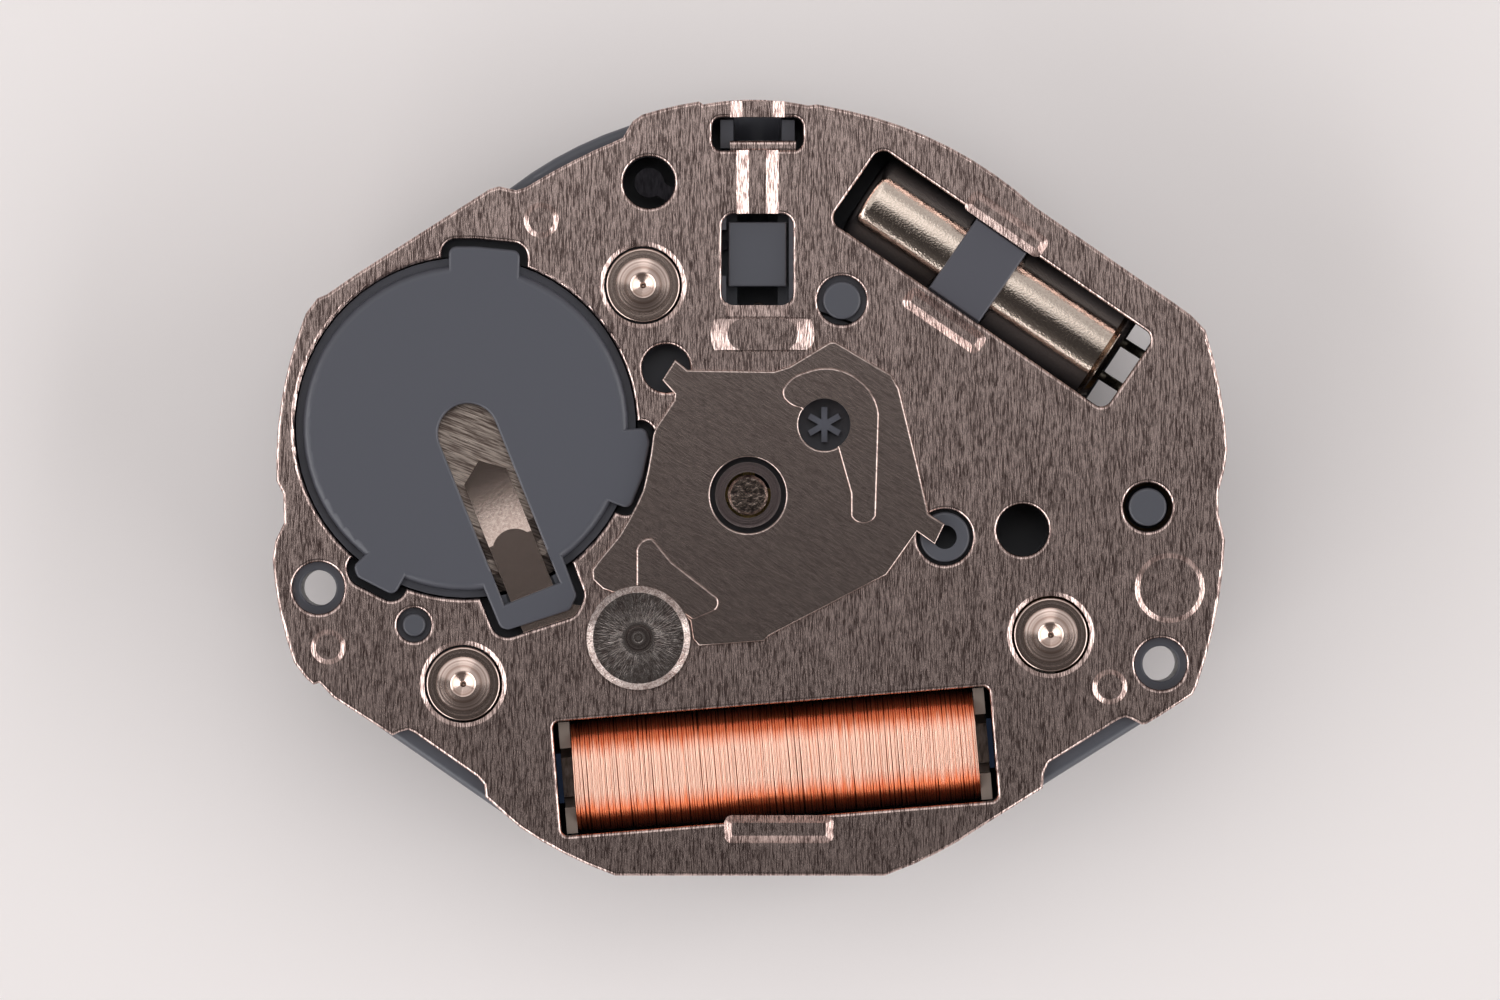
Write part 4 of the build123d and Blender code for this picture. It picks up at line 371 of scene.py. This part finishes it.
# Acetal and other plastics moulded in eroded tools: greys with a faint blue, and a soft satin
cap_finish = moulded("moulded_grey_acetal", "#4F5058", 0.42, texture_mm=0.06, depth_mm=0.0008)
plate_finish = moulded("moulded_plate_plastic", "#4E4F56", 0.38, texture_mm=0.08, depth_mm=0.0008)
strap_finish = moulded("moulded_strap_acetal", "#4E4E56", 0.45, texture_mm=0.06, depth_mm=0.0008)
gear_finish = moulded("moulded_gear_acetal", "#5A5C66", 0.4, texture_mm=0.05, depth_mm=0.0005)
# Pale plastic of the coil's flanges: warm grey
flange_finish = moulded("moulded_flange_plastic", "#A4968C", 0.35, texture_mm=0.06, depth_mm=0.0008)
# Polyester film dyed through: deep blue and glossy
film_finish = moulded("blue_polyester_film", "#24344E", 0.18, texture_mm=0.2, depth_mm=0.0004)
# Glass and epoxy laminate of the board: brown and half matt
board_finish = moulded("board_laminate", "#6B5230", 0.5, texture_mm=0.08, depth_mm=0.001)
# Black resin over the circuit: matt
chip_finish = moulded("moulded_chip_resin", "#1C1C1E", 0.5, texture_mm=0.05, depth_mm=0.001)

finishes = {
    "black_plastic": plate_finish,
    "dark_plastic": plate_finish,
    "cap_plastic": cap_finish,
    "strap_plastic": strap_finish,
    "brushed_cover_steel": cover_finish,
    "bridge_steel": bridge_finish,
    "turned_steel": arbor_finish,
    "spring_steel": spring_finish,
    "cell_steel": cell_finish,
    "can_nickel": can_finish,
    "base_glass": base_finish,
    "tinned_wire": lead_finish,
    "solder": solder_finish,
    "core_iron": iron_finish,
    "stator_iron": iron_finish,
    "enamelled_copper": copper_with_painted_light,
    "flange_plastic": flange_finish,
    "blue_film": film_finish,
    "board_laminate": board_finish,
    "chip_resin": chip_finish,
    "gear_brass": brass_finish,
    "gear_plastic": gear_finish,
    "magnet": magnet_finish,
}
own_finishes = {
    "plate_pillars": pillar_finish,
    "bridge_pin": pin_finish,
    "centre_bush": bush_finish,
    "seconds_arbor": shaft_finish,
    "setting_lever": lever_finish,
    "yoke": lever_finish,
}


# Soft shading over the rounded edges of the CAD nodes
def shading_tree():
    """Joins loose triangles and shades them smooth, but for keen edges and the rims of level faces."""
    keen_angle = 35
    level_share = 0.9998
    halfway, tolerance = 0.5, 0.3
    tree = bpy.data.node_groups.new("soft_shading", "GeometryNodeTree")
    tree.interface.new_socket("Geometry", in_out="INPUT", socket_type="NodeSocketGeometry")
    angle = tree.interface.new_socket("Edge Angle", in_out="INPUT", socket_type="NodeSocketFloat")
    angle.default_value = math.radians(keen_angle)
    tree.interface.new_socket("Geometry", in_out="OUTPUT", socket_type="NodeSocketGeometry")
    given = add(tree, "NodeGroupInput").outputs
    weld = add(tree, "GeometryNodeMergeByDistance", None,
               {"Geometry": given["Geometry"], "Distance": merge_distance})
    edge = add(tree, "GeometryNodeInputMeshEdgeAngle")
    keen = add(tree, "FunctionNodeCompare", {"operation": "GREATER_THAN", "data_type": "FLOAT"},
               {"A": edge, "B": given["Edge Angle"]})
    # A level face counts 1 and any other 0, so an edge between the two is halfway
    normal = add(tree, "ShaderNodeSeparateXYZ", None, {0: add(tree, "GeometryNodeInputNormal")})
    level = add(tree, MATH, ABSOLUTE, {0: normal.outputs["Z"]})
    level = add(tree, MATH, {"operation": "GREATER_THAN"}, {0: level, 1: level_share})
    level = add(tree, "GeometryNodeFieldOnDomain", {"domain": "FACE", "data_type": "FLOAT"},
                {"Value": level})
    rim = add(tree, MATH, {"operation": "COMPARE"}, {0: level, 1: halfway, 2: tolerance})
    sharp = add(tree, MATH, {"operation": "MAXIMUM"}, {0: keen, 1: rim})
    shaded = add(tree, "GeometryNodeSetMeshNormal", {"mode": "SHARPNESS"},
                 {"Mesh": weld, "Remove Custom": True, "Edge Sharpness": sharp})
    add(tree, "NodeGroupOutput", None, {"Geometry": shaded})
    return tree


soft_shading = shading_tree()
for part in frame["record"]["subparts"]:
    piece = nodes[part["node"]]
    piece.data.materials.clear()
    piece.data.materials.append(own_finishes.get(part["node"], finishes[part["material_slot"]]))
    piece.modifiers.new("soft_shading", "NODES").node_group = soft_shading


def plain_piece(name, mesh, tree, values, place=Matrix()):
    """A mesh that went through a Geometry Nodes tree, as a plain object with its place in its mesh."""
    seed = bpy.data.objects.new(name + "_seed", mesh)
    scene.collection.objects.link(seed)
    modifier = seed.modifiers.new(name, "NODES")
    modifier.node_group = tree
    for identifier, value in values.items():
        modifier[identifier] = value
    graph = bpy.context.evaluated_depsgraph_get()
    result = bpy.data.meshes.new_from_object(seed.evaluated_get(graph))
    result.transform(place)
    bpy.data.objects.remove(seed)
    piece = bpy.data.objects.new(name, result)
    scene.collection.objects.link(piece)
    return piece


# The coil's winding. The real wire is 0.02 mm thick; here it is nearly three times that, so
# that the turns show
coil_length = 8.20 * MM
coil_radius = 1.12 * MM
coil_lift = 0.15 * MM
turn_pitch = 0.047 * MM
wire_radius = 0.027 * MM
wire_sides = 5
loop_points = 40
loop_squareness = 0.62
smallest_loop = 0.985
inner_layers = 0.92
lean = math.radians(0.7)
upright = math.radians(90)
end_taper = 0.05
end_taper_power = 22.0
wander = 0.025 * MM
wander_length = 0.9 * MM


def winding_tree():
    """Loops of wire side by side along X, on a barrel whose sides are pressed flat."""
    tree = bpy.data.node_groups.new("coil_turns", "GeometryNodeTree")
    inputs = {}
    for name, kind, value in (
        ("Package Length", "Float", coil_length), ("Package Radius", "Float", coil_radius),
        ("Turn Pitch", "Float", turn_pitch), ("Wire Radius", "Float", wire_radius),
        ("Wander", "Float", wander), ("Squareness", "Float", loop_squareness),
        ("Seed", "Int", 5), ("Wire Finish", "Material", None),
    ):
        socket = tree.interface.new_socket(name, in_out="INPUT", socket_type="NodeSocket" + kind)
        if value is not None:
            socket.default_value = value
        inputs[name] = socket.identifier
    tree.interface.new_socket("Geometry", in_out="OUTPUT", socket_type="NodeSocketGeometry")
    given = add(tree, "NodeGroupInput").outputs

    # A row of points, one for each turn
    half = add(tree, MATH, MULTIPLY, {0: given["Package Length"], 1: 0.5})
    inside = add(tree, MATH, SUBTRACT, {0: half, 1: given["Wire Radius"]})
    start = add(tree, "ShaderNodeCombineXYZ", None, {"X": add(tree, MATH, MULTIPLY, {0: inside, 1: -1.0})})
    end = add(tree, "ShaderNodeCombineXYZ", None, {"X": inside})
    count = add(tree, MATH, DIVIDE, {0: given["Package Length"], 1: given["Turn Pitch"]})
    row = add(tree, "GeometryNodeMeshLine", {"mode": "END_POINTS", "count_mode": "TOTAL"},
              {"Count": count, "Start Location": start, "Offset": end})

    # The loop: a circle pressed towards a square
    circle = add(tree, "GeometryNodeCurvePrimitiveCircle", None,
                 {"Resolution": loop_points, "Radius": given["Package Radius"]})
    at = add(tree, "ShaderNodeSeparateXYZ", None, {0: add(tree, "GeometryNodeInputPosition")})
    pressed = {}
    for axis in ("X", "Y"):
        share = add(tree, MATH, DIVIDE, {0: at.outputs[axis], 1: given["Package Radius"]})
        size = add(tree, MATH, ABSOLUTE, {0: share})
        size = add(tree, MATH, {"operation": "POWER"}, {0: size, 1: given["Squareness"]})
        side = add(tree, MATH, {"operation": "SIGN"}, {0: share})
        size = add(tree, MATH, MULTIPLY, {0: size, 1: side})
        pressed[axis] = add(tree, MATH, MULTIPLY, {0: size, 1: given["Package Radius"]})
    square = add(tree, "ShaderNodeCombineXYZ", None, pressed)
    loop = add(tree, "GeometryNodeSetPosition", None, {"Geometry": circle, "Position": square})

    # Each turn leans and shrinks by its own small amount, and the turns at both ends are smaller
    turn = add(tree, "FunctionNodeRandomValue", {"data_type": "FLOAT_VECTOR"},
               {0: (0.0, upright - lean, -lean), 1: (0.0, upright + lean, lean), "Seed": given["Seed"]})
    size = add(tree, "FunctionNodeRandomValue", {"data_type": "FLOAT"},
               {2: smallest_loop, 3: 1.0, "Seed": given["Seed"]})
    along = add(tree, "ShaderNodeSeparateXYZ", None, {0: add(tree, "GeometryNodeInputPosition")})
    share = add(tree, MATH, DIVIDE, {0: along.outputs["X"], 1: half})
    share = add(tree, MATH, ABSOLUTE, {0: share})
    share = add(tree, MATH, {"operation": "POWER"}, {0: share, 1: end_taper_power})
    taper = add(tree, MATH, MULTIPLY_ADD, {0: share, 1: -end_taper, 2: 1.0})
    scale = add(tree, MATH, MULTIPLY, {0: size.outputs[1], 1: taper})
    turns = add(tree, "GeometryNodeInstanceOnPoints", None,
                {"Points": row, "Instance": loop, "Rotation": turn, "Scale": scale})
    turns = add(tree, "GeometryNodeRealizeInstances", None, {"Geometry": turns})

    # The turns wander in and out together, so their highlights are wavy
    wave = add(tree, NOISE, None, {"Scale": 1.0 / wander_length, "Detail": 2.0})
    shift = add(tree, VECTOR_MATH, SUBTRACT, {0: wave.outputs["Color"], 1: [noise_middle] * 3})
    shift = add(tree, VECTOR_MATH, SCALE, {0: shift, "Scale": given["Wander"]})
    turns = add(tree, "GeometryNodeSetPosition", None, {"Geometry": turns, "Offset": shift})
    section = add(tree, "GeometryNodeCurvePrimitiveCircle", None,
                  {"Resolution": wire_sides, "Radius": given["Wire Radius"]})
    wire = add(tree, "GeometryNodeCurveToMesh", None, {"Curve": turns, "Profile Curve": section})

    # The layers below, closed at both ends
    spine = add(tree, "GeometryNodeCurvePrimitiveLine", None, {"Start": start, "End": end})
    small = add(tree, "GeometryNodeTransform", None, {"Geometry": loop, "Scale": [inner_layers] * 3})
    barrel = add(tree, "GeometryNodeCurveToMesh", None,
                 {"Curve": spine, "Profile Curve": small, "Fill Caps": True})
    both = add(tree, "GeometryNodeJoinGeometry", None, {"Geometry": wire})
    fill(tree, both, {"Geometry": barrel})
    smooth = add(tree, "GeometryNodeSetShadeSmooth", None, {"Geometry": both})
    whole = add(tree, "GeometryNodeRealizeInstances", None, {"Geometry": smooth})
    dressed = add(tree, "GeometryNodeSetMaterial", None,
                  {"Geometry": whole, "Material": given["Wire Finish"]})
    add(tree, "NodeGroupOutput", None, {"Geometry": dressed})
    return tree, inputs


tree, inputs = winding_tree()
coil_low, coil_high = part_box("coil_winding")
coil_place = Matrix.Translation((coil_low + coil_high) / 2 + Vector((0, 0, coil_lift)))
coil_place @= Matrix.Rotation(math.radians(coil_direction), 4, "Z")
empty_mesh = bpy.data.meshes.new("winding_seed")
winding = plain_piece(
    "wound_turns", empty_mesh, tree, {inputs["Wire Finish"]: copper_with_painted_light}, coil_place)
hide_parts("coil_winding")
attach(winding, "movement")


# The pillars, with their centre dimples at half the depth of the part's drill points
dimple_reach = 0.27 * MM
dimple_low = 0.4 * MM
dimple_share = 0.5
work = merged("plate_pillars")
for vertex in work.verts:
    depth = cover_top - vertex.co.z
    reach = min((vertex.co.xy - place.xy).length for place in pillar_middles)
    if reach < dimple_reach and 0 < depth < dimple_low:
        vertex.co.z = cover_top - depth * dimple_share
pillar_mesh = nodes["plate_pillars"].data.copy()
work.to_mesh(pillar_mesh)
work.free()
pillars = plain_piece("dimpled_pillars", pillar_mesh, soft_shading, {})
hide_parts("plate_pillars")
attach(pillars, "movement")


# Floor, a hair under the seconds arbor
floor_size = 1.2
floor_gap = 0.02 * MM
arbor_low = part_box("seconds_arbor")[0].z
bpy.ops.mesh.primitive_plane_add(size=floor_size, location=(0, 0, arbor_low - floor_gap))
floor = bpy.context.object
floor.name = "pale_floor"
card, card_tree, card_shader = new_material("pale_matte_card")
fill(card_tree, card_shader, {"Base Color": linear("#F2ECEB"), "Roughness": 0.9})
floor.data.materials.append(card)

# Pale walls round the table that darken towards the ceiling, where the camera hangs
wall_level, ceiling_level = 0.5, 0.05
wall_height, ceiling_height = 0.05, 0.9
scene.world = bpy.data.worlds.new("soft_room")
scene.world.use_nodes = True
room = scene.world.node_tree
sky = add(room, "ShaderNodeTexCoord").outputs["Generated"]
height = add(room, "ShaderNodeSeparateXYZ", None, {0: sky}).outputs["Z"]
level = add(room, MAP_RANGE, None, {
    "Value": height, "From Min": wall_height, "From Max": ceiling_height,
    "To Min": wall_level, "To Max": ceiling_level,
})
fill(room, room.nodes["Background"], {"Color": linear("#FAF4F2"), "Strength": level})


def soft_panel(name, azimuth, elevation, distance, width, height, radiance):
    """A soft light panel that faces the hand axis, with one even radiance."""
    lamp = bpy.data.lights.new(name, "AREA")
    lamp.shape = "RECTANGLE"
    lamp.size = width
    lamp.size_y = height
    lamp.energy = radiance * math.pi * width * height
    panel = bpy.data.objects.new(name, lamp)
    a, e = math.radians(azimuth), math.radians(elevation)
    direction = Vector((math.cos(a) * math.cos(e), math.sin(a) * math.cos(e), math.sin(e)))
    panel.location = direction * distance
    panel.rotation_euler = direction.to_track_quat("Z", "Y").to_euler()
    panel.visible_camera = False
    scene.collection.objects.link(panel)


# Two low panels light the raised edges and the coil's crown, and two small high ones the slopes
soft_panel(
    "left_panel", azimuth=206, elevation=25, distance=0.4,
    width=0.70, height=0.28, radiance=2.8)
soft_panel(
    "right_panel", azimuth=-12, elevation=25, distance=0.4,
    width=0.56, height=0.28, radiance=2.8)
soft_panel(
    "upper_right_panel", azimuth=50, elevation=57, distance=0.15,
    width=0.17, height=0.15, radiance=0.42)
soft_panel(
    "upper_left_panel", azimuth=122, elevation=57, distance=0.12,
    width=0.13, height=0.12, radiance=0.70)

# The camera looks straight down through a macro lens, at the photo's scale and centre
photo_width = 1500
photo_pixels_per_mm = 49.5
photo_centre = Vector((0.0404, -0.101, 0)) * MM
camera_height = 0.30
nearest_seen = 0.01
sensor_width = 36.0
camera_data = bpy.data.cameras.new("camera")
camera_data.sensor_width = sensor_width
camera_data.lens = sensor_width * camera_height / (photo_width / photo_pixels_per_mm * MM)
camera_data.clip_start = nearest_seen
camera = bpy.data.objects.new("camera", camera_data)
camera.location = photo_centre + Vector((0, 0, cover_top + camera_height))
scene.collection.objects.link(camera)
scene.camera = camera
scene.view_settings.view_transform = "Standard"
